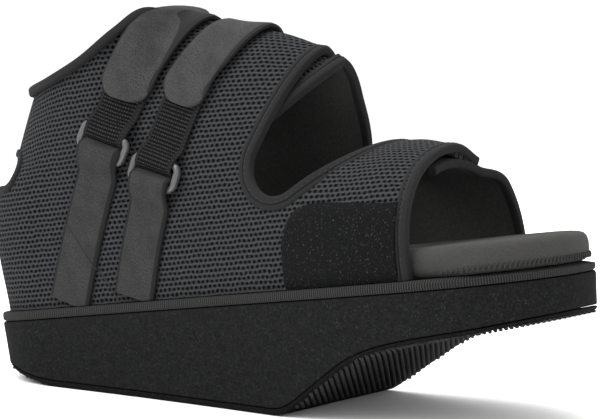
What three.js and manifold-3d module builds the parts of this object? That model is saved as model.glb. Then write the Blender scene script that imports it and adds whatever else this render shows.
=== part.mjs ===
// Post operative shoe with a forefoot relief wedge: right shoe, millimetres, toe along +X, floor at Z = 0.
// Everything above the floor is built in the footbed's own frame and tilted once, at the end.
import * as THREE from 'three';
import { mergeVertices } from 'three/addons/utils/BufferGeometryUtils.js';
import Module from 'manifold-3d';

const wasm = await Module();
wasm.setup();

// Driving sizes of the sole
const length = 280;
const heelHalfWidth = 39;
const ballHalfWidth = 50;
const toeCapLength = 52;
const toeSquareness = 2.15;
const footbedTilt = THREE.MathUtils.degToRad(7.3);
const heelFootbedHeight = 23;
const contactStart = 46;
const contactEnd = 171;
const heelBevelRise = 8.2;
const toeUnderRise = 44.5;
const toeUnderReach = 286;
const outsoleThickness = 2.6;
const sideDraft = 0.0012;
const edgeBreak = 0.8;

// Driving sizes of the welt and the insole
const weltThickness = 3.8;
const weltLedge = 3;
const toeLip = 5;
const insoleThickness = 11.4;
const insoleToeInset = 1.4;
const insoleSideGap = 1.2;

// Driving sizes of the upper
const upperHeight = 127;
const upperWall = 2.2;
const toeEdge = 233.5;
const collarHalfWidth = 30;
const flapOverlap = 0.25;
const flapGap = 1.8;
const flapLooseness = 2.2;
const toeFlapDroop = 3.2;
const heelCupBulge = 5.2;
const heelSlotHeight = 65;
const heelSlotReach = 24;
const heelSlotRadius = 6;
const throatCentre = { along: 172.2, up: 54.5 };
const throatRadius = 13.5;
const throatRearAngle = THREE.MathUtils.degToRad(65);
const throatFrontAngle = THREE.MathUtils.degToRad(30);
const farThroatShift = 9;
const farThroatDrop = 4;
const farThroatRadius = 8.2;
const farThroatRearAngle = THREE.MathUtils.degToRad(70);

// Driving sizes of the trims
const bindingWidth = 3.6;
const bindingStand = 0.5;
const strapWidth = 23;
const strapThickness = 1.6;
const hookTabThickness = 1.2;
const patchThickness = 1.1;
const strapArch = -0.6;
const seam = 0.4;
const ringBar = 2.8;
const ringLength = 27;
const ringDepth = 13;
const ringLift = 1.7;
const gap = 0.3;

// Half widths of the sole, as shares of the ball's half width, against shares of the length
const widthRows = [
  { along: 0.139, near: 0.780, far: 0.770 },
  { along: 0.321, near: 0.810, far: 0.760 },
  { along: 0.464, near: 0.865, far: 0.775 },
  { along: 0.625, near: 0.945, far: 0.840 },
  { along: 0.732, near: 1.000, far: 0.945 },
  { along: 0.814, near: 1.000, far: 0.985 },
  { along: 1.000, near: 1.000, far: 0.985 },
];

// Underside ahead of the ground pad: shares of the reach to the toe and of the rise under the toe
const frontRows = [
  { along: 0.000, up: 0.000 },
  { along: 0.044, up: 0.055 },
  { along: 0.122, up: 0.205 },
  { along: 0.192, up: 0.335 },
  { along: 0.280, up: 0.500 },
  { along: 0.360, up: 0.600 },
  { along: 0.447, up: 0.674 },
  { along: 0.557, up: 0.744 },
  { along: 0.763, up: 0.853 },
  { along: 1.000, up: 1.000 },
];

// Underside behind the ground pad: shares of the pad's start and of the bevel's rise
const heelRows = [
  { along: 1.06, up: 1.06 },
  { along: 0.78, up: 0.72 },
  { along: 0.52, up: 0.42 },
  { along: 0.26, up: 0.17 },
  { along: 0.00, up: 0.00 },
];

// Sections of the upper from the toe edge round to the back of the heel. foot and top are shares of
// the length, side of the collar's half width, rise, low and drop of the upper's height, lean and
// back of the length. swell and out are shares of the foot's own half width.
const sectionRows = [
  {
    foot: 0.834, top: 0.834, side: 0.00, rise: 0.417, low: 0.300,
    swell: 0.07, out: 0.53, drop: 0.00, lean: 0.000, back: 0.000,
  },
  {
    foot: 0.779, top: 0.779, side: 0.00, rise: 0.450, low: 0.310,
    swell: 0.06, out: 0.59, drop: 0.00, lean: 0.000, back: 0.000,
  },
  {
    foot: 0.725, top: 0.725, side: 0.00, rise: 0.459, low: 0.310,
    swell: 0.05, out: 0.64, drop: 0.00, lean: 0.000, back: 0.000,
  },
  {
    foot: 0.671, top: 0.695, side: 0.00, rise: 0.498, low: 0.320,
    swell: 0.05, out: 0.69, drop: 0.00, lean: 0.004, back: 0.000,
  },
  {
    foot: 0.614, top: 0.690, side: 0.00, rise: 0.640, low: 0.340,
    swell: 0.05, out: 0.68, drop: 0.02, lean: 0.008, back: 0.004,
  },
  {
    foot: 0.557, top: 0.677, side: 0.00, rise: 0.744, low: 0.360,
    swell: 0.05, out: 0.64, drop: 0.04, lean: 0.012, back: 0.008,
  },
  {
    foot: 0.500, top: 0.630, side: 0.00, rise: 0.782, low: 0.370,
    swell: 0.05, out: 0.62, drop: 0.04, lean: 0.012, back: 0.008,
  },
  {
    foot: 0.443, top: 0.557, side: 0.00, rise: 0.850, low: 0.380,
    swell: 0.05, out: 0.64, drop: 0.03, lean: 0.010, back: 0.005,
  },
  {
    foot: 0.386, top: 0.486, side: 0.00, rise: 0.883, low: 0.390,
    swell: 0.05, out: 0.66, drop: 0.02, lean: 0.008, back: 0.003,
  },
  {
    foot: 0.336, top: 0.404, side: 0.00, rise: 0.942, low: 0.400,
    swell: 0.05, out: 0.66, drop: 0.02, lean: 0.006, back: 0.003,
  },
  {
    foot: 0.282, top: 0.366, side: 0.58, rise: 0.980, low: 0.400,
    swell: 0.05, out: 0.34, drop: 0.12, lean: 0.004, back: 0.015,
  },
  {
    foot: 0.221, top: 0.327, side: 0.88, rise: 0.926, low: 0.380,
    swell: 0.06, out: 0.15, drop: 0.24, lean: 0.002, back: 0.025,
  },
  {
    foot: 0.157, top: 0.264, side: 0.98, rise: 0.849, low: 0.360,
    swell: 0.06, out: 0.08, drop: 0.25, lean: 0.000, back: 0.030,
  },
  {
    foot: 0.095, top: 0.192, side: 0.90, rise: 0.802, low: 0.355,
    swell: 0.05, out: 0.08, drop: 0.24, lean: -0.004, back: 0.050,
  },
  {
    foot: 0.038, top: 0.125, side: 0.56, rise: 0.785, low: 0.355,
    swell: 0.03, out: 0.10, drop: 0.23, lean: -0.009, back: 0.052,
  },
  {
    foot: 0.000, top: 0.094, side: 0.00, rise: 0.783, low: 0.355,
    swell: 0.00, out: 0.00, drop: 0.224, lean: -0.0125, back: 0.052,
  },
];

// Straps on the near side, as middle lines seen from the side. along is a share of the length and
// up of the upper's height: the tab's foot, the ring, the strap's rounded end and the ridge.
const strapRows = [
  {
    name: 'rear', foot: [0.211, 0.034], ring: [0.307, 0.555],
    end: [0.353, 0.775], ridge: [0.428, 1.080], turn: 0.52,
  },
  {
    name: 'front', foot: [0.341, 0.034], ring: [0.399, 0.437],
    end: [0.452, 0.728], ridge: [0.540, 1.010], turn: 0.36,
  },
];

// Small helpers
const near = -1;
const far = 1;
const lerp = (a, b, t) => a + (b - a) * t;
const clamp01 = (t) => Math.min(1, Math.max(0, t));

function smooth(from, to, value) {
  const t = clamp01((value - from) / (to - from));
  return t * t * (3 - 2 * t);
}

function catmull(a, b, c, d, t) {
  const low = (c - a) / 2;
  const high = (d - b) / 2;
  return b + t * (low + t * (3 * (c - b) - 2 * low - high + t * (2 * (b - c) + low + high)));
}

function rowValue(rows, key, place) {
  const last = rows.length - 1;
  let k = 0;
  while (k < last - 1 && place > rows[k + 1].along) k += 1;
  const t = clamp01((place - rows[k].along) / (rows[k + 1].along - rows[k].along));
  const before = rows[Math.max(0, k - 1)][key];
  const after = rows[Math.min(last, k + 2)][key];
  return catmull(before, rows[k][key], rows[k + 1][key], after, t);
}

function solidFrom(points, triangles) {
  const vertProperties = new Float32Array(points.flat());
  const triVerts = new Uint32Array(triangles.flat());
  return new wasm.Manifold(new wasm.Mesh({ numProp: 3, vertProperties, triVerts }));
}

function geometryFrom(solid) {
  const mesh = solid.getMesh();
  const geometry = new THREE.BufferGeometry();
  geometry.setAttribute('position', new THREE.BufferAttribute(new Float32Array(mesh.vertProperties), 3));
  geometry.setIndex(new THREE.BufferAttribute(new Uint32Array(mesh.triVerts), 1));
  geometry.computeVertexNormals();
  return geometry;
}

// Outline of the sole, seen from above
function halfWidth(side, along) {
  const key = side === near ? 'near' : 'far';
  const body = ballHalfWidth * rowValue(widthRows, key, Math.max(along / length, widthRows[0].along));
  if (along < heelHalfWidth) {
    return body * Math.sqrt(Math.max(0, 1 - ((heelHalfWidth - along) / heelHalfWidth) ** 2));
  }
  const intoToe = (along - (length - toeCapLength)) / toeCapLength;
  if (intoToe > 0) {
    return body * Math.max(0, 1 - intoToe ** toeSquareness) ** (1 / toeSquareness);
  }
  return body;
}

// Underside of the outsole in the footbed's frame, as a line of points
function undersideLine() {
  const cos = Math.cos(footbedTilt);
  const sin = Math.sin(footbedTilt);
  const place = (x, z) => ({
    along: x * cos + (z - heelFootbedHeight) * sin,
    up: -x * sin + (z - heelFootbedHeight) * cos,
  });
  const heel = heelRows.map((row) => place(contactStart * (1 - row.along), heelBevelRise * row.up));
  const front = frontRows.map((row) => (
    place(lerp(contactEnd, toeUnderReach, row.along), toeUnderRise * row.up)
  ));
  return [...heel, ...front];
}

const underside = undersideLine();

function undersideAt(along) {
  let k = 0;
  while (k < underside.length - 2 && along > underside[k + 1].along) k += 1;
  const a = underside[k];
  const b = underside[k + 1];
  return lerp(a.up, b.up, (along - a.along) / (b.along - a.along));
}

function soleStations() {
  const arcSteps = 8;
  const places = underside.map((point) => point.along);
  for (let k = 0; k <= arcSteps; k += 1) {
    const angle = (k / arcSteps) * (Math.PI / 2);
    places.push(heelHalfWidth * (1 - Math.cos(angle)));
    places.push(length - toeCapLength * (1 - Math.sin(angle) ** (2 / toeSquareness)));
  }
  for (let along = heelHalfWidth; along < length - toeCapLength; along += 22) places.push(along);
  const corners = underside.map((point) => point.along);
  const sorted = places.filter((along) => along > 0 && along < length).sort((a, b) => a - b);
  const kept = [0];
  for (const along of sorted) {
    const isCorner = corners.includes(along);
    if (isCorner && kept.length > 1 && along - kept[kept.length - 1] < 1.2
      && !corners.includes(kept[kept.length - 1])) kept.pop();
    if (along - kept[kept.length - 1] >= (isCorner ? 0.5 : 0.7) && length - along > 0.3) kept.push(along);
  }
  return [...kept, length];
}

const stations = soleStations();

// A layer of the sole: each level gives an inset from the outline and a height at a station
function soleLayer(levels) {
  const count = stations.length;
  const ring = 2 * (count - 1);
  const points = [];
  for (const level of levels) {
    const put = (k, side) => {
      const along = stations[k];
      const { inset, up } = level(along);
      const full = halfWidth(side, along);
      const squeeze = 1 - inset / Math.max(full, heelHalfWidth);
      const slide = inset * (1 - 2 * (along / length));
      const edge = smooth(0, heelHalfWidth, along) * smooth(0, toeCapLength, length - along);
      points.push([along + slide * (1 - edge), side * full * squeeze, up]);
    };
    for (let k = 0; k < count; k += 1) put(k, near);
    for (let k = count - 2; k > 0; k -= 1) put(k, far);
  }
  const triangles = [];
  for (let level = 0; level < levels.length - 1; level += 1) {
    for (let k = 0; k < ring; k += 1) {
      const a = level * ring + k;
      const b = level * ring + ((k + 1) % ring);
      triangles.push([a, a + ring, b], [b, a + ring, b + ring]);
    }
  }
  const cap = (start, flip) => {
    const farAt = (k) => start + (ring - k) % ring;
    for (let k = 0; k < count - 1; k += 1) {
      const corners = [start + k, start + k + 1, farAt(k + 1), farAt(k)];
      if (corners[1] !== corners[2]) addTriangle(triangles, corners[0], corners[1], corners[2], flip);
      if (corners[0] !== corners[3]) addTriangle(triangles, corners[0], corners[2], corners[3], flip);
    }
  };
  cap(0, false);
  cap((levels.length - 1) * ring, true);
  return solidFrom(points, triangles);
}

function addTriangle(triangles, a, b, c, flip) {
  triangles.push(flip ? [a, c, b] : [a, b, c]);
}

function outsole() {
  const draftAt = (up) => sideDraft * Math.max(0, -up) * ballHalfWidth;
  const top = (along) => ({ up: undersideAt(along) + outsoleThickness });
  const bottom = (along) => ({ up: undersideAt(along) });
  return soleLayer([
    (along) => ({ inset: draftAt(top(along).up) + edgeBreak, up: top(along).up }),
    (along) => ({ inset: draftAt(top(along).up), up: top(along).up - edgeBreak / 2 }),
    (along) => ({ inset: draftAt(bottom(along).up) + edgeBreak, up: bottom(along).up }),
  ]);
}

function midsole() {
  const draftAt = (up) => sideDraft * Math.max(0, -up) * ballHalfWidth;
  const bottomAt = (along) => undersideAt(along) + outsoleThickness + gap;
  return soleLayer([
    () => ({ inset: edgeBreak, up: 0 }),
    () => ({ inset: 0, up: -edgeBreak }),
    (along) => ({ inset: draftAt(bottomAt(along)), up: bottomAt(along) }),
  ]);
}

const weltTop = gap + weltThickness;
const upperBase = weltTop + gap;

function welt() {
  const lipAt = (along) => edgeBreak + toeLip * smooth(toeEdge - 6, toeEdge + 34, along);
  return soleLayer([
    (along) => ({ inset: lipAt(along), up: weltTop }),
    () => ({ inset: 0, up: weltTop - weltThickness * 0.35 }),
    () => ({ inset: 0, up: gap + edgeBreak }),
    () => ({ inset: edgeBreak / 2, up: gap }),
  ]);
}

function insole() {
  const insideUpper = weltLedge + upperWall + insoleSideGap + 1;
  const insetAt = (along) => lerp(insideUpper, insoleToeInset, smooth(toeEdge, toeEdge + 26, along));
  const level = (share, extra) => (along) => ({
    inset: insetAt(along) + extra * insoleThickness,
    up: upperBase + share * insoleThickness,
  });
  return soleLayer([
    level(1.00, 0.42),
    level(0.94, 0.16),
    level(0.76, 0.03),
    level(0.50, 0.00),
    level(0.20, 0.04),
    level(0.00, 0.16),
  ]);
}

// The upper's surface: a cubic curve for each section, from the welt up to the collar or the ridge
function footPoint(side, share) {
  const along = share * length;
  const across = halfWidth(side, along) * (1 - weltLedge / heelHalfWidth);
  return [weltLedge + share * (length - weltLedge), side * across];
}

function sectionHandles(side, index) {
  const last = sectionRows.length - 1;
  const k = index > last ? 2 * last - index : Math.max(0, index);
  const row = sectionRows[k];
  const mirror = index > last ? -1 : 1;
  const [footAlong, footSide] = footPoint(side, row.foot);
  const topAlong = row.top * length;
  const topSide = side * row.side * collarHalfWidth;
  const topUp = row.rise * upperHeight;
  return [
    [footAlong, mirror * footSide, upperBase],
    [footAlong + row.lean * length, mirror * footSide * (1 + row.swell), row.low * upperHeight],
    [topAlong - row.back * length, mirror * (topSide + row.out * footSide), topUp - row.drop * upperHeight],
    [topAlong, mirror * topSide, topUp],
  ];
}

function basePoint(side, around, t) {
  const last = sectionRows.length - 1;
  const place = clamp01(around) * last;
  const k = Math.min(last - 1, Math.floor(place));
  const rows = [k - 1, k, k + 1, k + 2].map((index) => sectionHandles(side, index));
  const local = place - k;
  const handles = [0, 1, 2, 3].map((h) => [0, 1, 2].map((axis) => (
    catmull(rows[0][h][axis], rows[1][h][axis], rows[2][h][axis], rows[3][h][axis], local)
  )));
  handles[3][1] = side * Math.max(0, side * handles[3][1]);
  const s = 1 - t;
  const weights = [s * s * s, 3 * s * s * t, 3 * s * t * t, t * t * t];
  const point = [0, 1, 2].map((axis) => (
    weights.reduce((sum, weight, h) => sum + weight * handles[h][axis], 0)
  ));
  const [along, across, up] = point;
  const cup = smooth(upperBase, heelSlotHeight - 14, up)
    * (1 - smooth(heelSlotHeight - heelSlotRadius, heelSlotHeight + heelSlotRadius, up))
    * smooth(0.80, 0.94, around);
  const toHeel = Math.hypot(heelHalfWidth - along, across) || 1;
  return [
    along - heelCupBulge * cup * ((heelHalfWidth - along) / toHeel),
    across + heelCupBulge * cup * (across / toHeel),
    up,
  ];
}

function surfacePoint(side, around, t) {
  return t <= 1 ? basePoint(side, around, t) : basePoint(-side, around, 2 - t);
}

function surfaceNormal(side, around, t) {
  const step = 0.01;
  const a0 = Math.max(0, around - step);
  const a1 = Math.min(1, around + step);
  const p = new THREE.Vector3(...surfacePoint(side, a0, t));
  const q = new THREE.Vector3(...surfacePoint(side, a1, t));
  const r = new THREE.Vector3(...surfacePoint(side, around, Math.max(0, t - step)));
  const s = new THREE.Vector3(...surfacePoint(side, around, t + step));
  if (around > 0.999) {
    q.set(p.x, -p.y, p.z);
  }
  const normal = new THREE.Vector3().crossVectors(q.sub(p), s.sub(r));
  return normal.multiplyScalar(side).normalize();
}

function offsetPoint(side, around, t, lift) {
  const point = new THREE.Vector3(...surfacePoint(side, around, t));
  return point.addScaledVector(surfaceNormal(side, around, t), lift).toArray();
}

const columns = 30;
const collarStart = 9.3 / (sectionRows.length - 1);

function overlapAt(around) {
  return flapOverlap * (1 - smooth(collarStart - 0.26, collarStart - 0.035, around));
}

function arcShare(side, around, end, distance) {
  let t = end;
  let travelled = 0;
  let previous = new THREE.Vector3(...surfacePoint(side, around, t));
  while (t > 0) {
    t -= 0.004;
    const point = new THREE.Vector3(...surfacePoint(side, around, t));
    const run = point.distanceTo(previous);
    if (travelled + run >= distance) return t + 0.004 * (1 - (distance - travelled) / run);
    travelled += run;
    previous = point;
  }
  return 0;
}

// A shell between two lifts over a patch of the surface
function shell(side, options) {
  const { from = 0, to = 1, start = from, low = () => 0, high, inner, outer } = options;
  const { rows = 15, cols = columns } = options;
  const points = [];
  const layers = [outer, inner];
  for (const lift of layers) {
    for (let i = 0; i <= cols; i += 1) {
      const around = i === 0 ? start : lerp(from, to, i / cols);
      const lowest = low(around);
      const highest = high(around);
      for (let j = 0; j <= rows; j += 1) {
        const t = lerp(lowest, highest, j / rows);
        points.push(offsetPoint(side, around, t, lift(around, t)));
      }
    }
  }
  if (to === 1) {
    for (const [index, point] of points.entries()) {
      const column = Math.floor((index % ((cols + 1) * (rows + 1))) / (rows + 1));
      if (column === cols) point[1] = 0;
    }
  }
  const layer = (cols + 1) * (rows + 1);
  const at = (which, i, j) => which * layer + i * (rows + 1) + j;
  const triangles = [];
  const flip = side === far;
  const quad = (a, b, c, d) => {
    addTriangle(triangles, a, b, c, flip);
    addTriangle(triangles, a, c, d, flip);
  };
  for (let i = 0; i < cols; i += 1) {
    for (let j = 0; j < rows; j += 1) {
      quad(at(0, i, j), at(0, i, j + 1), at(0, i + 1, j + 1), at(0, i + 1, j));
      quad(at(1, i, j), at(1, i + 1, j), at(1, i + 1, j + 1), at(1, i, j + 1));
    }
    quad(at(0, i, 0), at(0, i + 1, 0), at(1, i + 1, 0), at(1, i, 0));
    quad(at(0, i, rows), at(1, i, rows), at(1, i + 1, rows), at(0, i + 1, rows));
  }
  for (let j = 0; j < rows; j += 1) {
    quad(at(0, 0, j), at(1, 0, j), at(1, 0, j + 1), at(0, 0, j + 1));
    quad(at(0, cols, j), at(0, cols, j + 1), at(1, cols, j + 1), at(1, cols, j));
  }
  return solidFrom(points, triangles);
}

// A straight prism along Y over an outline in the side view
function sidePrism(outline, from, to) {
  const flat = outline.map(([along, up]) => new THREE.Vector2(along, up));
  const ordered = THREE.ShapeUtils.isClockWise(flat) ? flat.slice().reverse() : flat;
  const faces = THREE.ShapeUtils.triangulateShape(ordered, []);
  const count = ordered.length;
  const points = [from, to].flatMap((y) => ordered.map((p) => [p.x, y, p.y]));
  const triangles = [];
  for (const [a, b, c] of faces) {
    triangles.push([a, b, c], [a + count, c + count, b + count]);
  }
  for (let k = 0; k < count; k += 1) {
    const next = (k + 1) % count;
    triangles.push([k, k + count, next], [next, k + count, next + count]);
  }
  return solidFrom(points, triangles);
}

function arcPoints(centre, radius, start, end, steps) {
  return Array.from({ length: steps + 1 }, (unused, k) => {
    const angle = lerp(start, end, k / steps);
    return [centre[0] + radius * Math.cos(angle), centre[1] + radius * Math.sin(angle)];
  });
}

function throatOutline(side, grow) {
  const shift = side === far ? farThroatShift : 0;
  const drop = side === far ? farThroatDrop : 0;
  const centre = [throatCentre.along + shift, throatCentre.up - drop];
  const reach = upperHeight * 0.6;
  const radius = (side === far ? farThroatRadius : throatRadius) + grow;
  const rearAngle = side === far ? farThroatRearAngle : throatRearAngle;
  const arc = arcPoints(centre, radius, rearAngle + Math.PI / 2,
    throatFrontAngle + 1.5 * Math.PI, 10);
  const rear = [arc[0][0] + reach * Math.cos(rearAngle), arc[0][1] + reach * Math.sin(rearAngle)];
  const end = arc[arc.length - 1];
  const front = [end[0] + reach * Math.cos(throatFrontAngle), end[1] + reach * Math.sin(throatFrontAngle)];
  return [rear, ...arc, front];
}

function heelSlotOutline(grow) {
  const radius = heelSlotRadius + grow;
  const arc = arcPoints([heelSlotReach, heelSlotHeight], radius, -Math.PI / 2, Math.PI / 2, 8);
  const behind = -heelHalfWidth;
  return [[behind, heelSlotHeight - radius], ...arc, [behind, heelSlotHeight + radius]];
}

const acrossReach = ballHalfWidth * 2;
const throatCutter = (side, grow) => sidePrism(throatOutline(side, grow), -acrossReach, acrossReach);
const heelSlotCutter = (grow) => sidePrism(heelSlotOutline(grow), -acrossReach, acrossReach);

// Where each flap lies: the near one on top, the far one tucked under it
function flapSink(side, around, t) {
  if (side === near) return toeFlapDroop * smooth(1, 1.26, t) * (1 - smooth(0, 0.1, around));
  const tuck = smooth(0.42, 0.72, t) * (1 - smooth(collarStart + 0.02, collarStart + 0.2, around));
  const loose = flapLooseness * (1 - smooth(0, 0.12, around));
  return tuck * (upperWall + flapGap + loose);
}

const topOf = (side, trim) => (around) => {
  const end = 1 + overlapAt(around);
  return trim > 0 ? arcShare(side, around, end, trim) : end;
};

const trimmed = bindingWidth + 2 * gap;
const toeRowLength = length * (sectionRows[0].foot - sectionRows[1].foot);
const toeBindingEnd = (bindingWidth / toeRowLength) / (sectionRows.length - 1);
const toeTrim = toeBindingEnd * (trimmed / bindingWidth);

function upperHalf(side) {
  const body = shell(side, {
    start: toeTrim,
    high: topOf(side, trimmed),
    outer: (around, t) => -flapSink(side, around, t),
    inner: (around, t) => -upperWall - flapSink(side, around, t),
  });
  return body.subtract(throatCutter(side, trimmed)).subtract(heelSlotCutter(trimmed));
}

const upper = () => upperHalf(near).add(upperHalf(far));

// Bindings: bands cut from a slightly thicker shell along each free edge
function boundShell(side, options) {
  return shell(side, {
    outer: (around, t) => bindingStand - flapSink(side, around, t),
    inner: (around, t) => -upperWall - bindingStand / 4 - flapSink(side, around, t),
    ...options,
  });
}

function throatBinding(side) {
  const band = boundShell(side, { from: toeTrim, to: 0.62, high: topOf(side, 0), cols: 18, rows: 12 });
  return band.intersect(throatCutter(side, bindingWidth)).subtract(throatCutter(side, 0));
}

function heelBinding() {
  const half = (side) => boundShell(side, { from: 0.62, high: () => 0.86, cols: 16, rows: 18 })
    .intersect(heelSlotCutter(bindingWidth)).subtract(heelSlotCutter(0));
  return half(near).add(half(far));
}

function toeBinding(side) {
  return boundShell(side, { from: 0, to: toeBindingEnd, high: topOf(side, 0), cols: 1 });
}

function edgeBinding(side, grow = 0) {
  return boundShell(side, {
    rows: 2,
    outer: (around, t) => bindingStand + grow - flapSink(side, around, t),
    low: (around) => arcShare(side, around, 1 + overlapAt(around), bindingWidth),
    high: topOf(side, 0),
  }).subtract(throatCutter(side, trimmed)).subtract(forefootCutter());
}

const forefootCutter = () => sidePrism([
  [throatCentre.along, -upperHeight], [length, -upperHeight], [length, upperHeight * 0.61],
  [throatCentre.along, upperHeight * 0.61],
], -acrossReach, acrossReach);
const collarBinding = () => edgeBinding(near).add(edgeBinding(far));

// A piece laid on the surface inside an outline of the side view
function overlay(side, outline, inner, outer, options = {}) {
  const across = side === near ? [-acrossReach, seam] : [-seam, acrossReach];
  const past = (around) => 1 + 0.05 * (1 - smooth(collarStart - 0.06, collarStart - 0.02, around));
  const layer = shell(side, { high: past, inner, outer, cols: 26, rows: 16, ...options });
  return layer.intersect(sidePrism(outline, across[0], across[1]));
}

const sidePlace = ([along, up]) => [along * length, up * upperHeight];

// A band of the strap's width along a middle line, with an optional round start
function bandOutline(line, width, roundStart) {
  const left = [];
  const right = [];
  for (const [k, point] of line.entries()) {
    const a = line[Math.max(0, k - 1)];
    const b = line[Math.min(line.length - 1, k + 1)];
    const run = Math.hypot(b[0] - a[0], b[1] - a[1]);
    const across = [(b[1] - a[1]) / run, -(b[0] - a[0]) / run];
    left.push([point[0] - across[0] * width / 2, point[1] - across[1] * width / 2]);
    right.push([point[0] + across[0] * width / 2, point[1] + across[1] * width / 2]);
  }
  const outline = [...left, ...right.reverse()];
  if (roundStart) {
    const heading = Math.atan2(line[1][1] - line[0][1], line[1][0] - line[0][0]);
    const arc = arcPoints(line[0], width / 2, heading - Math.PI / 2, heading - 1.5 * Math.PI, 10);
    return [...arc, ...outline.slice(1, -1)];
  }
  return outline;
}

const tabLift = gap + 0.1;
const hookLift = bindingStand + 0.6;
const strapLift = hookLift + hookTabThickness + gap;

function ringFrame(row) {
  const [along, up] = sidePlace(row.ring);
  const hit = findOnSide(near, along, up);
  const normal = surfaceNormal(near, hit.around, hit.t);
  const across = new THREE.Vector3(Math.cos(row.turn), 0, -Math.sin(row.turn));
  across.addScaledVector(normal, -across.dot(normal)).normalize();
  const upward = new THREE.Vector3().crossVectors(normal, across).normalize();
  return { point: new THREE.Vector3(...surfacePoint(near, hit.around, hit.t)), normal, across, upward };
}

function findOnSide(side, along, up) {
  let best = { around: 0, t: 0, miss: Infinity };
  const measure = (around, t) => {
    const point = surfacePoint(side, around, t);
    return Math.hypot(point[0] - along, point[2] - up);
  };
  for (let i = 0; i <= 60; i += 1) {
    for (let j = 0; j <= 40; j += 1) {
      const miss = measure(i / 60, j / 40);
      if (miss < best.miss) best = { around: i / 60, t: j / 40, miss };
    }
  }
  for (let step = 0.01; step > 0.0001; step *= 0.7) {
    for (const [da, dt] of [[step, 0], [-step, 0], [0, step], [0, -step]]) {
      const around = clamp01(best.around + da);
      const t = clamp01(best.t + dt);
      const miss = measure(around, t);
      if (miss < best.miss) best = { around, t, miss };
    }
  }
  return best;
}

const ringSide = (row) => {
  const [along, up] = sidePlace(row.ring);
  const heading = [Math.sin(row.turn), Math.cos(row.turn)];
  const shift = (distance) => [along + heading[0] * distance, up + heading[1] * distance];
  return { below: shift(-ringDepth / 2 - gap), above: shift(ringDepth / 2 + gap) };
};

function ringBlock(row) {
  const frame = ringFrame(row);
  const long = ringLength / 2 + gap;
  const deep = ringDepth / 2 + gap;
  const block = wasm.Manifold.cube([2 * long, 2 * deep, ringDepth], true);
  const basis = new THREE.Matrix4().makeBasis(frame.across, frame.upward, frame.normal);
  return block.transform(basis.setPosition(frame.point).toArray());
}

function lowerTab(row) {
  const line = [sidePlace(row.foot), ringSide(row).below];
  const lean = [line[0][0] - (line[1][0] - line[0][0]) * 0.2, line[0][1] - (line[1][1] - line[0][1]) * 0.2];
  const outline = bandOutline([lean, line[1]], strapWidth - 2, false);
  return overlay(near, outline, () => tabLift, () => tabLift + strapThickness).subtract(ringBlock(row));
}

function hookTab(row) {
  const end = sidePlace(row.end);
  const start = ringSide(row).above;
  const past = [lerp(start[0], end[0], 1.1), lerp(start[1], end[1], 1.1)];
  return overlay(near, bandOutline([start, past], strapWidth - 2, false),
    () => hookLift, () => hookLift + hookTabThickness).subtract(ringBlock(row));
}

function topStrap(row) {
  const foot = sidePlace(row.foot);
  const ring = sidePlace(row.ring);
  const end = sidePlace(row.end);
  const ridge = sidePlace(row.ridge);
  const below = [foot[0] - (ring[0] - foot[0]) * 0.2, foot[1] - (ring[1] - foot[1]) * 0.2];
  const arch = (t) => strapArch * smooth(0.8, 1, t);
  const nearLow = (around, t) => strapLift + arch(t);
  const farLow = (around, t) => lerp(hookLift, strapLift, smooth(0.55, 0.95, t)) + arch(t);
  const thick = (low) => (around, t) => low(around, t) + strapThickness;
  const nearOutline = bandOutline([end, ridge], strapWidth, true);
  const farOutline = bandOutline([below, ring, end, ridge], strapWidth, false);
  const nearPart = overlay(near, nearOutline, nearLow, thick(nearLow));
  const farPart = overlay(far, farOutline, farLow, thick(farLow));
  return nearPart.add(farPart).subtract(edgeBinding(near, gap)).subtract(edgeBinding(far, gap));
}

function ring(row) {
  const frame = ringFrame(row);
  const corner = ringBar;
  const outline = new THREE.Shape(roundedBox(ringLength, ringDepth, corner));
  const window = roundedBox(ringLength - 2 * ringBar, ringDepth - 2 * ringBar, corner / 3);
  outline.holes.push(new THREE.Path(window));
  const bevel = ringBar * 0.22;
  const geometry = new THREE.ExtrudeGeometry(outline, {
    depth: ringBar - 2 * bevel,
    bevelEnabled: true,
    bevelThickness: bevel,
    bevelSize: bevel,
    bevelOffset: -bevel,
    bevelSegments: 1,
    steps: 1,
  });
  geometry.translate(0, 0, bevel + ringLift);
  geometry.deleteAttribute('normal');
  geometry.deleteAttribute('uv');
  const merged = mergeVertices(geometry, 1e-4);
  const basis = new THREE.Matrix4().makeBasis(frame.across, frame.upward, frame.normal);
  merged.applyMatrix4(basis.setPosition(frame.point));
  merged.computeVertexNormals();
  return merged;
}

function roundedBox(wide, high, radius) {
  const corners = [[1, 1, 0], [-1, 1, 1], [-1, -1, 2], [1, -1, 3]];
  return corners.flatMap(([x, y, turn]) => {
    const centre = [x * (wide / 2 - radius), y * (high / 2 - radius)];
    return arcPoints(centre, radius, turn * Math.PI / 2, (turn + 1) * Math.PI / 2, 3);
  }).map(([x, y]) => new THREE.Vector2(x, y));
}

function hookPatch() {
  const rear = length * 0.631;
  const front = toeEdge - trimmed - gap;
  const radius = 13;
  const crown = upperHeight * 0.286;
  const arc = arcPoints([rear + radius, crown - radius], radius, Math.PI, Math.PI / 2, 6);
  const outline = [[rear, upperBase + gap], ...arc, [front, crown - 3], [front, upperBase + gap]];
  return overlay(near, outline, () => gap, () => gap + patchThickness, { to: 0.5, cols: 20 });
}

// The tilted group with every piece
function piece(name, geometry, color, roughness, metalness = 0) {
  const material = new THREE.MeshStandardMaterial({ color, roughness, metalness });
  const mesh = new THREE.Mesh(geometry, material);
  mesh.name = name;
  return mesh;
}

const colours = {
  rubber: 0x27292a, foam: 0x2c2d2d, tape: 0x565751, pad: 0x6c6963, knit: 0x4b4d4c,
  trim: 0x5b5d5b, velour: 0x6a6a66, hook: 0x3c3f3f, plastic: 0x8d8e8c,
};

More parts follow.
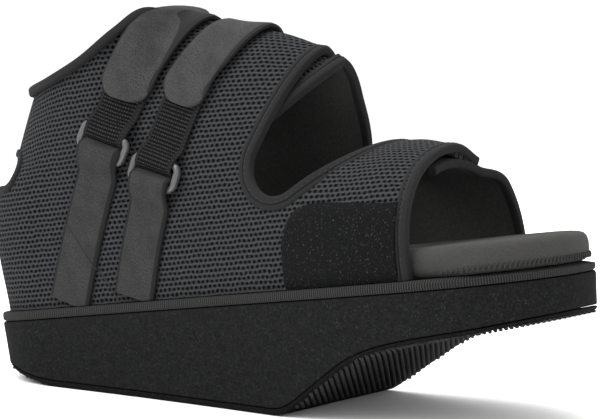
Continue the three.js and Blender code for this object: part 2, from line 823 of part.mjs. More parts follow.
const shoe = new THREE.Group();
const footbed = new THREE.Group();
footbed.rotation.y = -footbedTilt;
footbed.position.set(-(contactStart + contactEnd) / 2, 0, heelFootbedHeight);
shoe.add(footbed);

function made(name, solid, color, roughness) {
  footbed.add(piece(name, geometryFrom(solid), color, roughness));
}

made('outsole', outsole(), colours.rubber, 0.8);
made('midsole', midsole(), colours.foam, 0.85);
made('welt', welt(), colours.tape, 0.9);
made('insole', insole(), colours.pad, 0.95);
made('upper', upper(), colours.knit, 0.95);
made('binding_collar', collarBinding(), colours.trim, 0.9);
made('binding_heel_opening', heelBinding(), colours.trim, 0.9);
made('binding_throat_near', throatBinding(near), colours.trim, 0.9);
made('binding_throat_far', throatBinding(far), colours.trim, 0.9);
made('binding_toe_near', toeBinding(near), colours.trim, 0.9);
made('binding_toe_far', toeBinding(far), colours.trim, 0.9);
made('hook_patch', hookPatch(), colours.hook, 1);
for (const row of strapRows) {
  made(`tab_lower_${row.name}`, lowerTab(row), colours.velour, 0.95);
  made(`tab_hook_${row.name}`, hookTab(row), colours.hook, 0.8);
  made(`strap_${row.name}`, topStrap(row), colours.velour, 0.95);
  footbed.add(piece(`ring_${row.name}`, ring(row), colours.plastic, 0.3));
}

export default shoe;
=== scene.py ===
# Post operative wedge shoe: cloth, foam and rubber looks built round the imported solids.
import math

import bmesh
import bpy
import numpy as np
from mathutils import Matrix, Vector


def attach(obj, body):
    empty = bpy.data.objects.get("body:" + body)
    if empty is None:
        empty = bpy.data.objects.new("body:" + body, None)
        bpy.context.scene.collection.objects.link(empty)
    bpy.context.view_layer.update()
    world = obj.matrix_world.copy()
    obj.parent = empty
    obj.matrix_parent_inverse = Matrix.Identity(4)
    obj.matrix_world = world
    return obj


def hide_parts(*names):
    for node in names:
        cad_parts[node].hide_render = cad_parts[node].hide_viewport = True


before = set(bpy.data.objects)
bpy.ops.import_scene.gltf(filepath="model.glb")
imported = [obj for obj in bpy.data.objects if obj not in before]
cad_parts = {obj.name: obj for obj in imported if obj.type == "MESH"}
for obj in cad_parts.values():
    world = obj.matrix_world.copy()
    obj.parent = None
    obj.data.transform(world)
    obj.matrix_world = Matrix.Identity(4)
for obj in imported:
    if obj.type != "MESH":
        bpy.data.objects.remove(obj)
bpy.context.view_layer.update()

bl_info = {
    "name": "Post operative wedge shoe",
    "version": (1, 0, 0),
    "blender": (4, 5, 0),
    "location": "View3D > Sidebar > Wedge shoe",
    "description": "Builds the cloth, foam and rubber pieces of a post operative wedge shoe",
    "category": "Object",
}

NEAR = -1
FAR = 1
MM = 0.001

# Sizes of the sole, in millimetres in the footbed's own frame: along it, across it and up from it
TILT = math.radians(7.3)
HEEL_HEIGHT = 23
LENGTH = 280
HEEL_HALF = 39
BALL_HALF = 50
TOE_CAP = 52
TOE_SQUARENESS = 2.15
PAD_START = 46
PAD_END = 171
PAD_MIDDLE = (PAD_START + PAD_END) / 2
HEEL_BEVEL_RISE = 8.2
TOE_UNDER_RISE = 44.5
TOE_UNDER_REACH = 286
OUTSOLE = 2.6
SIDE_DRAFT = 0.06
GAP = 0.3
WELT = 3.8
WELT_LEDGE = 3
WELT_TOP = GAP + WELT
BASE = WELT_TOP + GAP
INSOLE = 11.4

# Sizes of the upper and of what is sewn to it
HEIGHT = 127
WALL = 2.2
TOE_EDGE = 233.5
COLLAR_HALF = 30
FLAP_OVERLAP = 0.25
FLAP_TUCK = 0.23
FLAP_GAP = 1.8
FLAP_LOOSE = 2.2
FLAP_PADDING = 2.6
TOE_DROOP = 3.2
CUP_BULGE = 5.2
SLOT_HEIGHT = 65
SLOT_REACH = 24
SLOT_RADIUS = 6
THROAT_ALONG = 172.2
THROAT_UP = 54.5
THROAT_RADIUS = 13.5
THROAT_REAR = math.radians(65)
THROAT_FRONT = math.radians(30)
FAR_THROAT_SHIFT = 9
FAR_THROAT_DROP = 4
FAR_THROAT_RADIUS = 8.2
FAR_THROAT_REAR = math.radians(70)
BINDING = 3.6
TRIM = BINDING - 1.2
STRAP_WIDTH = 23
STRAP_THICK = 1.6
HOOK_LIFT = 1.1
HOOK_THICK = 1.2
STRAP_LIFT = HOOK_LIFT + HOOK_THICK + GAP
STRAP_ARCH = -0.6
TAB_FOLD = 3.2
TUCK_ANGLE = math.radians(40)
RING_BAR = 2.8
RING_LENGTH = 27
RING_DEPTH = 13
RING_LIFT = 1.7
TREAD_PITCH = 2.3
TREAD_DEPTH = 1.0
TREAD_SLANT = 0.577
TREAD_HALF_WIDTH = 0.78
TREAD_TURN = (0.87, 0.5)
TREAD_MARGIN = 1.1
WELT_LIP = 5
INSOLE_REST = 1.4
PATCH_REAR = 0.631
PATCH_CROWN = 0.286
PATCH_RADIUS = 13
PATCH_DROP = 3
STRAP_TIP_RADIUS = 8.5
BRIDGE_PULL = 16
TAB_LIFT = 0.4
TAB_HEM = 3.2
TAPE_PITCH = 1.6
THROAT_BAND = 2.2
TOE_TAPE_BAND = 1.8

WIDTH_ROWS = {
    "along": (0.139, 0.321, 0.464, 0.625, 0.732, 0.814, 1.000),
    NEAR: (0.780, 0.810, 0.865, 0.945, 1.000, 1.000, 1.000),
    FAR: (0.770, 0.760, 0.775, 0.840, 0.945, 0.985, 0.985),
}
FRONT_ROWS = {
    "along": (0.0, 0.044, 0.122, 0.192, 0.280, 0.360, 0.447, 0.557, 0.763, 1.0),
    "up": (0.0, 0.055, 0.205, 0.335, 0.500, 0.600, 0.674, 0.744, 0.853, 1.0),
}
HEEL_ROWS = {
    "along": (1.06, 0.78, 0.52, 0.26, 0.0),
    "up": (1.06, 0.72, 0.42, 0.17, 0.0),
}

# Sections of the upper from the toe edge to the heel, as shares of the length, height and half width
SECTION_NAMES = ("foot", "top", "side", "rise", "low", "swell", "out", "drop", "lean", "back")
SECTION_ROWS = np.array((
    (0.834, 0.834, 0.00, 0.417, 0.300, 0.07, 0.53, 0.00, 0.000, 0.000),
    (0.779, 0.779, 0.00, 0.450, 0.310, 0.06, 0.59, 0.00, 0.000, 0.000),
    (0.725, 0.725, 0.00, 0.459, 0.310, 0.05, 0.64, 0.00, 0.000, 0.000),
    (0.671, 0.695, 0.00, 0.498, 0.320, 0.05, 0.69, 0.00, 0.004, 0.000),
    (0.614, 0.690, 0.00, 0.640, 0.340, 0.05, 0.68, 0.02, 0.008, 0.004),
    (0.557, 0.677, 0.00, 0.744, 0.360, 0.05, 0.64, 0.04, 0.012, 0.008),
    (0.500, 0.630, 0.00, 0.782, 0.370, 0.05, 0.62, 0.04, 0.012, 0.008),
    (0.443, 0.557, 0.00, 0.850, 0.380, 0.05, 0.64, 0.03, 0.010, 0.005),
    (0.386, 0.486, 0.00, 0.883, 0.390, 0.05, 0.66, 0.02, 0.008, 0.003),
    (0.336, 0.404, 0.00, 0.942, 0.400, 0.05, 0.66, 0.02, 0.006, 0.003),
    (0.282, 0.366, 0.58, 0.980, 0.400, 0.05, 0.34, 0.12, 0.004, 0.015),
    (0.221, 0.327, 0.88, 0.926, 0.380, 0.06, 0.15, 0.24, 0.002, 0.025),
    (0.157, 0.264, 0.98, 0.849, 0.360, 0.06, 0.08, 0.25, 0.000, 0.030),
    (0.095, 0.192, 0.90, 0.802, 0.355, 0.05, 0.08, 0.24, -0.004, 0.050),
    (0.038, 0.125, 0.56, 0.785, 0.355, 0.03, 0.10, 0.23, -0.009, 0.052),
    (0.000, 0.094, 0.00, 0.783, 0.355, 0.00, 0.00, 0.224, -0.0125, 0.052),
))
LAST = len(SECTION_ROWS) - 1
COLLAR_START = 9.3 / LAST
TOE_BAND = BINDING / (LENGTH * (SECTION_ROWS[0][0] - SECTION_ROWS[1][0])) / LAST

# Camera and lamps, in metres and watts
CAMERA_PLACE = (0.5205, -0.6932, 0.1349)
CAMERA_AIM = (0.0315, 0, 0.080)
CAMERA_LENS = 123.8
CAMERA_SHIFT = (0.0342, -0.0117)
LAMP_AIM = (0, 0, 0.07)
LAMPS = (
    ("key", (-0.6, -1.2, 1.5), 1.3, 32),
    ("fill", (1.5, -0.9, 0.7), 1.2, 3),
    ("top", (0.0, 0.3, 1.9), 1.3, 26),
    ("rim", (-1.2, 1.0, 0.9), 0.9, 12),
)

# Strap lines in the side view, as shares of the length and of the upper's height
STRAPS = {
    "rear": {"foot": (0.211, 0.034), "ring": (0.307, 0.555), "end": (0.353, 0.775),
             "ridge": (0.428, 1.080), "turn": 0.52},
    "front": {"foot": (0.341, 0.034), "ring": (0.399, 0.437), "end": (0.452, 0.728),
              "ridge": (0.540, 1.010), "turn": 0.36},
}
AHEAD_OF_TOE = (LENGTH * 1.2, 0, 30)
WHOLE_LINE = ("foot", "ring", "end", "ridge")
UPPER_LINE = ("ring", "end", "ridge")


def smooth(low, high, value):
    """None below low, one above high, and an eased rise between them."""
    share = np.clip((np.asarray(value, float) - low) / (high - low), 0, 1)
    return share * share * (3 - 2 * share)


def mix(a, b, share):
    """The value at a share of the way from a to b."""
    return a + (b - a) * share


def catmull_weights(t):
    """Weights of four rows for a smooth curve through the middle two."""
    squared = t * t
    cubed = squared * t
    return (
        -0.5 * t + squared - 0.5 * cubed,
        1 - 2.5 * squared + 1.5 * cubed,
        0.5 * t + 2 * squared - 1.5 * cubed,
        -0.5 * squared + 0.5 * cubed,
    )


def width_share(side, place):
    """The sole's half width at a share of its length, as a share of the ball's."""
    rows = np.array(WIDTH_ROWS["along"])
    values = np.array(WIDTH_ROWS[side])
    last = len(rows) - 1
    k = np.clip(np.searchsorted(rows, place, side="left") - 1, 0, last - 1)
    t = np.clip((place - rows[k]) / (rows[k + 1] - rows[k]), 0, 1)
    picks = (np.maximum(k - 1, 0), k, k + 1, np.minimum(k + 2, last))
    return sum(weight * values[pick] for weight, pick in zip(catmull_weights(t), picks))


def half_width(side, along):
    """Half width of the sole at a place along it, by side."""
    along = np.asarray(along, float)
    body = BALL_HALF * width_share(side, np.maximum(along / LENGTH, WIDTH_ROWS["along"][0]))
    heel = np.sqrt(np.clip(1 - ((HEEL_HALF - along) / HEEL_HALF) ** 2, 0, 1))
    into = np.clip((along - (LENGTH - TOE_CAP)) / TOE_CAP, 0, 1)
    toe = (1 - into ** TOE_SQUARENESS) ** (1 / TOE_SQUARENESS)
    return body * np.where(along < HEEL_HALF, heel, 1) * toe


def to_row(points):
    """Footbed millimetres to the frame's metres."""
    along, across, up = np.moveaxis(np.asarray(points, float), -1, 0)
    x = along * math.cos(TILT) - up * math.sin(TILT) - PAD_MIDDLE
    z = HEEL_HEIGHT + along * math.sin(TILT) + up * math.cos(TILT)
    return np.stack([x, across, z], -1) * MM


def to_bed(x, z):
    """Floor millimetres, counted from the heel, to the footbed's along and up."""
    lifted = z - HEEL_HEIGHT
    return (x * math.cos(TILT) + lifted * math.sin(TILT), -x * math.sin(TILT) + lifted * math.cos(TILT))


HEEL_X = PAD_START * (1 - np.array(HEEL_ROWS["along"]))
HEEL_Z = HEEL_BEVEL_RISE * np.array(HEEL_ROWS["up"])
FRONT_X = mix(PAD_END, TOE_UNDER_REACH, np.array(FRONT_ROWS["along"]))
FRONT_Z = TOE_UNDER_RISE * np.array(FRONT_ROWS["up"])
FLOOR_X = np.concatenate([HEEL_X, FRONT_X])
FLOOR_Z = np.concatenate([HEEL_Z, FRONT_Z])


def floor_profile(x):
    """Height of the underside above the floor, with its corners eased."""
    eased = [np.interp(x + shift, FLOOR_X, FLOOR_Z) for shift in (-4, -2, 0, 2, 4)]
    return sum(eased) / len(eased)


FINE_X = np.linspace(FLOOR_X[0], FLOOR_X[-1], 400)
BED_ALONG, BED_UP = to_bed(FINE_X, floor_profile(FINE_X))


def underside(along):
    """Height of the outsole's underside in the footbed's frame."""
    return np.interp(along, BED_ALONG, BED_UP)


def section_handles(side, index):
    """The four curve handles of one section of the upper."""
    mirror = -1 if index > LAST else 1
    row = dict(zip(SECTION_NAMES, SECTION_ROWS[2 * LAST - index if index > LAST else max(0, index)]))
    foot_along = WELT_LEDGE + row["foot"] * (LENGTH - WELT_LEDGE)
    foot_side = side * float(half_width(side, row["foot"] * LENGTH)) * (1 - WELT_LEDGE / HEEL_HALF)
    top_along = row["top"] * LENGTH
    top_side = side * row["side"] * COLLAR_HALF
    top_up = row["rise"] * HEIGHT
    return np.array((
        (foot_along, mirror * foot_side, BASE),
        (foot_along + row["lean"] * LENGTH, mirror * foot_side * (1 + row["swell"]), row["low"] * HEIGHT),
        (top_along - row["back"] * LENGTH, mirror * (top_side + row["out"] * foot_side),
         top_up - row["drop"] * HEIGHT),
        (top_along, mirror * top_side, top_up),
    ))


HANDLES = {
    side: np.array([section_handles(side, index) for index in range(-1, LAST + 2)])
    for side in (NEAR, FAR)
}


def base_points(side, around, t):
    """Points of the upper's own surface on one side."""
    around, t = np.broadcast_arrays(np.asarray(around, float), np.asarray(t, float))
    place = np.clip(around, 0, 1) * LAST
    k = np.minimum(LAST - 1, np.floor(place)).astype(int)
    weights = catmull_weights(place - k)
    handles = sum(weight[..., None, None] * HANDLES[side][k + n] for n, weight in enumerate(weights))
    handles[..., 3, 1] = side * np.maximum(0, side * handles[..., 3, 1])
    s = 1 - t
    curve = np.stack([s * s * s, 3 * s * s * t, 3 * s * t * t, t * t * t], -1)
    point = (curve[..., None] * handles).sum(-2)
    cup = (smooth(BASE, SLOT_HEIGHT - 14, point[..., 2])
           * (1 - smooth(SLOT_HEIGHT - SLOT_RADIUS, SLOT_HEIGHT + SLOT_RADIUS, point[..., 2]))
           * smooth(0.80, 0.94, around))
    reach = np.hypot(HEEL_HALF - point[..., 0], point[..., 1]) + 1e-9
    point[..., 0] -= CUP_BULGE * cup * (HEEL_HALF - point[..., 0]) / reach
    point[..., 1] += CUP_BULGE * cup * point[..., 1] / reach
    return point


def surface(side, around, t):
    """Points of a flap that carries on past the top line, over the other side."""
    around, t = np.broadcast_arrays(np.asarray(around, float), np.asarray(t, float))
    past = (t > 1)[..., None]
    return np.where(past, base_points(-side, around, 2 - t), base_points(side, around, np.minimum(t, 1)))


def normals(side, around, t):
    """Outward directions of the upper's surface."""
    step = 0.008
    around, t = np.broadcast_arrays(np.asarray(around, float), np.asarray(t, float))
    before = surface(side, np.maximum(0, around - step), t)
    after = surface(side, np.minimum(1, around + step), t)
    at_heel = around > 0.999
    after = np.where(at_heel[..., None], before * (1, -1, 1), after)
    rise = surface(side, around, t + step * (t < 1 + 1e-9)) - surface(side, around, np.maximum(0, t - step))
    normal = np.cross(after - before, rise) * side
    return normal / (np.linalg.norm(normal, axis=-1, keepdims=True) + 1e-12)


def lifted(side, around, t, lift):
    """Points a distance outside the surface."""
    return surface(side, around, t) + normals(side, around, t) * np.asarray(lift, float)[..., None]


def overlap(around, side=NEAR):
    """How far a flap reaches past the top line, as a height share."""
    tucked = FLAP_TUCK * smooth(0.24, 0.30, around) * (1 - smooth(0.40, 0.52, around)) * (side == FAR)
    return FLAP_OVERLAP * (1 - smooth(COLLAR_START - 0.26, COLLAR_START - 0.035, around)) + tucked


def sink(side, around, t):
    """How far a flap lies under the other one."""
    if side == NEAR:
        return TOE_DROOP * smooth(1, 1.26, t) * (1 - smooth(0, 0.1, around))
    tuck = smooth(0.42, 0.72, t) * (1 - smooth(COLLAR_START + 0.02, COLLAR_START + 0.2, around))
    loose = FLAP_LOOSE * (1 - smooth(0, 0.12, around))
    return tuck * (WALL + FLAP_GAP + loose)


def bisect(score, low, high, steps=32):
    """Where a score that falls along the way crosses zero, for whole arrays at once."""
    low = np.array(low, float)
    high = np.array(high, float)
    for _ in range(steps):
        middle = (low + high) / 2
        above = score(middle) > 0
        low = np.where(above, middle, low)
        high = np.where(above, high, middle)
    return (low + high) / 2


def locate(side, along, up, guess):
    """The place on the surface that the side view shows at a point."""
    place = np.array(guess, float)
    step = 1e-4
    for _ in range(25):
        here = surface(side, place[0], place[1])
        miss = np.array((here[0] - along, here[2] - up))
        by_around = (surface(side, place[0] + step, place[1]) - here) / step
        by_t = (surface(side, place[0], place[1] + step) - here) / step
        slopes = np.array(((by_around[0], by_t[0]), (by_around[2], by_t[2])))
        move = np.linalg.lstsq(slopes, -miss, rcond=None)[0]
        place += np.clip(move, -0.05, 0.05)
        place = np.clip(place, 0.0, 0.999)
    return place


# Mesh helpers
def run_uv(points):
    """Millimetres along the run and across it, for each point of a grid."""
    steps = np.linalg.norm(np.diff(points, axis=0), axis=-1)
    along = np.concatenate([np.zeros((1, points.shape[1])), np.cumsum(steps, 0)], 0)
    along = np.repeat(along.mean(1, keepdims=True), points.shape[1], 1)
    rises = np.linalg.norm(np.diff(points, axis=1), axis=-1)
    across = np.concatenate([np.zeros((points.shape[0], 1)), np.cumsum(rises, 1)], 1)
    return np.stack([along, across], -1)


def cloth_uv(points):
    """The cloth's own millimetres on a section grid: round the foot, and up the wall."""
    foot = points[:, 0, :2]
    tangent = np.gradient(foot, axis=0)
    tangent /= np.linalg.norm(tangent, axis=-1, keepdims=True) + 1e-9
    outward = np.stack([-tangent[:, 1], tangent[:, 0]], -1)
    start = np.concatenate([[0], np.cumsum(np.linalg.norm(np.diff(foot, axis=0), axis=-1))])
    steps = np.diff(points, axis=1)
    sideways = (steps[..., :2] * tangent[:, None]).sum(-1)
    out = (steps[..., :2] * outward[:, None]).sum(-1)
    rise = np.hypot(out, steps[..., 2])
    zero = np.zeros((len(points), 1))
    u = start[:, None] + np.concatenate([zero, np.cumsum(sideways, 1)], 1)
    v = np.concatenate([zero, np.cumsum(rise, 1)], 1)
    return np.stack([u, v], -1)


def grid_mesh(points, uv=None, wrap=False, ring=False, placed=False):
    """A bmesh grid laid on points. wrap closes each section, and ring closes the run."""
    points = np.asarray(points, float)
    if wrap:
        points = np.concatenate([points, points[:, :1]], 1)
    if ring:
        points = np.concatenate([points, points[:1]], 0)
    if uv is None:
        uv = run_uv(points * (1 / MM if placed else 1))
    elif wrap:
        uv = np.concatenate([uv, uv[:, :1]], 1)
    place = points if placed else to_row(points)
    columns, rows = points.shape[:2]
    bm = bmesh.new()
    layer = bm.loops.layers.uv.new("Cloth")
    bmesh.ops.create_grid(bm, x_segments=columns - 1, y_segments=rows - 1, size=1)
    bm.verts.index_update()
    flat = np.array([v.co[:2] for v in bm.verts])
    share = (flat - flat.min(0)) / (flat.max(0) - flat.min(0))
    index = np.rint(share * (columns - 1, rows - 1)).astype(int)
    for vert, (i, j) in zip(bm.verts, index):
        vert.co = place[i, j]
    for face in bm.faces:
        for loop in face.loops:
            i, j = index[loop.vert.index]
            loop[layer].uv = uv[i, j]
    bmesh.ops.remove_doubles(bm, verts=bm.verts, dist=1e-6)
    if wrap:
        edges = [edge for edge in bm.edges if edge.is_boundary]
        bmesh.ops.holes_fill(bm, edges=edges, sides=0)
    bmesh.ops.recalc_face_normals(bm, faces=bm.faces)
    return bm


def add_object(name, bm, *materials, sharp=40):
    """Makes an object of a bmesh, smooth apart from edges over an angle."""
    limit = math.radians(sharp)
    for face in bm.faces:
        face.smooth = True
    for edge in bm.edges:
        edge.smooth = not (len(edge.link_faces) == 2 and edge.calc_face_angle(0) > limit)
    mesh = bpy.data.meshes.new(name)
    bm.to_mesh(mesh)
    bm.free()
    for material in materials:
        mesh.materials.append(material)
    obj = bpy.data.objects.new(name, mesh)
    bpy.context.scene.collection.objects.link(obj)
    return obj


def dress(obj, slot, *nodes):
    """Puts a piece on the shoe's body, in place of its nodes."""
    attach(obj, "root")
    if nodes:
        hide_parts(*nodes)
    return obj


def merge_into(bm, other):
    """Adds another bmesh to a first one."""
    mesh = bpy.data.meshes.new("part")
    other.to_mesh(mesh)
    other.free()
    bm.from_mesh(mesh)
    bpy.data.meshes.remove(mesh)


def side_prism(outline, low=-2 * BALL_HALF, high=2 * BALL_HALF):
    """A closed prism across the shoe over an outline in the side view."""
    bm = bmesh.new()
    corners = [bm.verts.new(to_row((along, low, up))) for along, up in outline]
    face = bm.faces.new(corners)
    made = bmesh.ops.extrude_face_region(bm, geom=[face])
    moved = [item for item in made["geom"] if isinstance(item, bmesh.types.BMVert)]
    bmesh.ops.translate(bm, verts=moved, vec=(0, (high - low) * MM, 0))
    bmesh.ops.recalc_face_normals(bm, faces=bm.faces)
    return bm


def cut_away(obj, prisms):
    """Cuts closed prisms out of a piece and keeps the result as its mesh."""
    cutters = [add_object("cutter", prism) for prism in prisms]
    for cutter in cutters:
        modifier = obj.modifiers.new("cut", "BOOLEAN")
        modifier.operation = "DIFFERENCE"
        modifier.solver = "MANIFOLD"
        modifier.object = cutter
    graph = bpy.context.evaluated_depsgraph_get()
    mesh = bpy.data.meshes.new_from_object(
        obj.evaluated_get(graph), preserve_all_data_layers=True, depsgraph=graph)
    obj.modifiers.clear()
    old = obj.data
    obj.data = mesh
    bpy.data.meshes.remove(old)
    for cutter in cutters:
        bpy.data.objects.remove(cutter)


def arc_points(centre, radius, start, end, steps):
    """Points along an arc."""
    angles = np.linspace(start, end, steps + 1)
    return [(centre[0] + radius * math.cos(a), centre[1] + radius * math.sin(a)) for a in angles]


def throat_outline(side, grow=0.0, steps=24):
    """The cut between ankle flap and toe flap: its rear end, arc and front end."""
    shift = FAR_THROAT_SHIFT if side == FAR else 0
    drop = FAR_THROAT_DROP if side == FAR else 0
    centre = (THROAT_ALONG + shift, THROAT_UP - drop)
    radius = (FAR_THROAT_RADIUS if side == FAR else THROAT_RADIUS) + grow
    rear_angle = FAR_THROAT_REAR if side == FAR else THROAT_REAR
    arc = arc_points(centre, radius, rear_angle + math.pi / 2,
                     THROAT_FRONT + 1.5 * math.pi, steps)
    reach = 0.6 * HEIGHT
    rear = (arc[0][0] + reach * math.cos(rear_angle), arc[0][1] + reach * math.sin(rear_angle))
    front = (arc[-1][0] + reach * math.cos(THROAT_FRONT), arc[-1][1] + reach * math.sin(THROAT_FRONT))
    return rear, arc, front


def far_crest():
    """Where the far ankle flap's front edge crosses the top line, in the side view."""
    arc = throat_outline(FAR)[1]
    around = float(along_line(FAR, arc[0], FAR_THROAT_REAR, np.array([1.0]), 0.2, 0.55)[0])
    point = surface(FAR, around, 1.0)
    return float(point[0]), float(point[2])


def tuck_outline(grow=0.0):
    """What is cut from the far flap's end where it runs back under the near flap."""
    along, up = far_crest()
    along -= grow
    reach = 0.5 * HEIGHT
    ahead = (reach * math.cos(TUCK_ANGLE), reach * math.sin(TUCK_ANGLE))
    _, arc, front = throat_outline(FAR, grow)
    return [(along + ahead[0], up + ahead[1]), (along - ahead[0], up - ahead[1]), arc[-1], front]


def slot_outline(grow=0.0):
    """The heel opening in the side view."""
    radius = SLOT_RADIUS + grow
    arc = arc_points((SLOT_REACH, SLOT_HEIGHT), radius, -math.pi / 2, math.pi / 2, 16)
    return [(-HEEL_HALF, SLOT_HEIGHT - radius), *arc, (-HEEL_HALF, SLOT_HEIGHT + radius)]


def along_line(side, start, angle, t, low, high):
    """Where the surface meets a straight line of the side view, for each height share t."""
    across = (math.sin(angle), -math.cos(angle))

    def score(around):
        point = surface(side, around, t)
        return (point[..., 0] - start[0]) * across[0] + (point[..., 2] - start[1]) * across[1]

    return bisect(score, np.full(len(t), low), np.full(len(t), high))


def throat_route(side, steps=34):
    """The throat's edge as places on the surface, from the ankle flap's end to the toe flap's."""
    rear, arc, front = throat_outline(side)
    guess = (0.40, 0.5)
    places = []
    for along, up in arc:
        guess = locate(side, along, up, guess)
        places.append(tuple(guess))
    rear_t = np.linspace(1.0 + overlap(0.335, side), places[0][1], steps)[:-1]
    rear_angle = FAR_THROAT_REAR if side == FAR else THROAT_REAR
    rear_around = along_line(side, arc[0], rear_angle, rear_t, 0.12, 0.62)
    if side == FAR:
        tucked = along_line(side, far_crest(), TUCK_ANGLE, rear_t, 0.12, 0.62)
        rear_around = np.where(rear_t > 1, tucked, rear_around)
    front_t = np.linspace(places[-1][1], 1.0 + FLAP_OVERLAP, steps)[1:]
    front_around = along_line(side, arc[-1], THROAT_FRONT, front_t, 0.05, 0.55)
    return np.array([*zip(rear_around, rear_t), *places, *zip(front_around, front_t)])


def slot_route(steps=30):
    """The heel opening's edge, all the way round, as rows of side, around and t."""
    around_tip = {}
    rows = []
    for side in (NEAR, FAR):
        arc = arc_points((SLOT_REACH, SLOT_HEIGHT), SLOT_RADIUS, math.pi / 2, -math.pi / 2, 12)
        guess = (0.86, 0.6)
        tip = []
        for along, up in arc:
            guess = locate(side, along, up, guess)
            tip.append((side, guess[0], guess[1]))
        around_tip[side] = tip

    def level(side, height, start, end):
        around = np.linspace(start, end, steps)
        t = bisect(lambda value: height - surface(side, around, value)[..., 2],
                   np.full(steps, 0.05), np.full(steps, 0.98))
        return [(side, a, b) for a, b in zip(around, t)]

    top = SLOT_HEIGHT + SLOT_RADIUS
    bottom = SLOT_HEIGHT - SLOT_RADIUS
    near_tip = around_tip[NEAR]
    far_tip = around_tip[FAR][::-1]
    rows += near_tip
    rows += level(NEAR, bottom, near_tip[-1][1], 1.0)[1:]
    rows += level(FAR, bottom, 1.0, far_tip[0][1])[1:-1]
    rows += far_tip
    rows += level(FAR, top, far_tip[-1][1], 1.0)[1:]
    rows += level(NEAR, top, 1.0, near_tip[0][1])[1:-1]
    return rows


def route_points(route, sides):
    """Points and normals of a route, with each flap where it lies."""
    points = []
    outs = []
    for (around, t), side in zip(route, sides):
        normal = normals(side, around, t)
        points.append(surface(side, around, t) - normal * float(sink(side, around, t)))
        outs.append(normal)
    return np.array(points), np.array(outs)


def even_route(points, outs, pitch, ring=False):
    """The same route with points a set distance apart."""
    if ring:
        points = np.concatenate([points, points[:1]])
        outs = np.concatenate([outs, outs[:1]])
    run = np.concatenate([[0], np.cumsum(np.linalg.norm(np.diff(points, axis=0), axis=-1))])
    count = max(4, int(round(run[-1] / pitch)))
    wanted = np.linspace(0, run[-1], count + 1)
    if ring:
        wanted = wanted[:-1]
    even = np.stack([np.interp(wanted, run, points[:, n]) for n in range(3)], -1)
    out = np.stack([np.interp(wanted, run, outs[:, n]) for n in range(3)], -1)
    return even, out / np.linalg.norm(out, axis=-1, keepdims=True)


def inward(points, outs, away, ring=False):
    """Unit directions in the cloth, across a route and away from a point in its opening."""
    if ring:
        tangent = np.roll(points, -1, 0) - np.roll(points, 1, 0)
    else:
        tangent = np.gradient(points, axis=0)
    across = np.cross(outs, tangent)
    across /= np.linalg.norm(across, axis=-1, keepdims=True) + 1e-12
    middle = len(points) // 2
    if np.dot(across[middle], points[middle] - np.asarray(away, float)) < 0:
        across = -across
    return across


def edge_tape(route, sides, away, ring=False, band=0.0):
    """A folded tape swept along an edge of the upper, with a flat stitched band beside it."""
    points, outs = even_route(*route_points(route, sides), TAPE_PITCH, ring)
    across = inward(points, outs, away, ring)
    angles = np.linspace(0, 2 * math.pi, 16, endpoint=False)
    power = 0.55
    wide = BINDING / 2 * (1 + np.sign(np.cos(angles)) * np.abs(np.cos(angles)) ** power)
    half = (WALL + 1.5) / 2
    deep = -WALL / 2 + 0.1 + half * np.sign(np.sin(angles)) * np.abs(np.sin(angles)) ** power
    section = across[:, None] * wide[None, :, None] + outs[:, None] * deep[None, :, None]
    bm = grid_mesh(points[:, None] + section, wrap=True, ring=ring)
    if band:
        wide = BINDING + band * np.array((-0.30, -0.30, 0.0, 0.12, 0.5, 0.85, 1.0, 1.0))
        deep = np.array((-0.5, 0.05, 0.12, 0.5, 0.62, 0.5, 0.2, -0.5))
        section = across[:, None] * wide[None, :, None] + outs[:, None] * deep[None, :, None]
        merge_into(bm, grid_mesh(points[:, None] + section, wrap=True, ring=ring))
    return bm


def stitch_row(bm, points, outs, length=2.2, pitch=3.1, radius=0.34, lift=0.1, slant=0.0, ring=False):
    """Short rounded threads laid along a route."""
    even, out = even_route(points, outs, pitch, ring)
    tangent = np.gradient(even, axis=0)
    place = to_row(even + out * lift)
    heads = to_row(even + tangent) - to_row(even)
    ups = to_row(even + out) - to_row(even)
    for centre, head, up in zip(place, heads, ups):
        x_axis = Vector(head).normalized()
        z_axis = Vector(up).normalized()
        y_axis = z_axis.cross(x_axis).normalized()
        if slant:
            x_axis = (x_axis * math.cos(slant) + y_axis * math.sin(slant)).normalized()
            y_axis = z_axis.cross(x_axis).normalized()
        basis = Matrix((x_axis, y_axis, x_axis.cross(y_axis))).transposed().to_4x4()
        scale = Matrix.Diagonal((length / 2 * MM, radius * MM, radius * MM, 1))
        bmesh.ops.create_icosphere(
            bm, subdivisions=1, radius=1, matrix=Matrix.Translation(centre) @ basis @ scale)


# Materials
def toned(color, share):
    """A colour made darker or paler by a share."""
    return tuple(share * value for value in color)


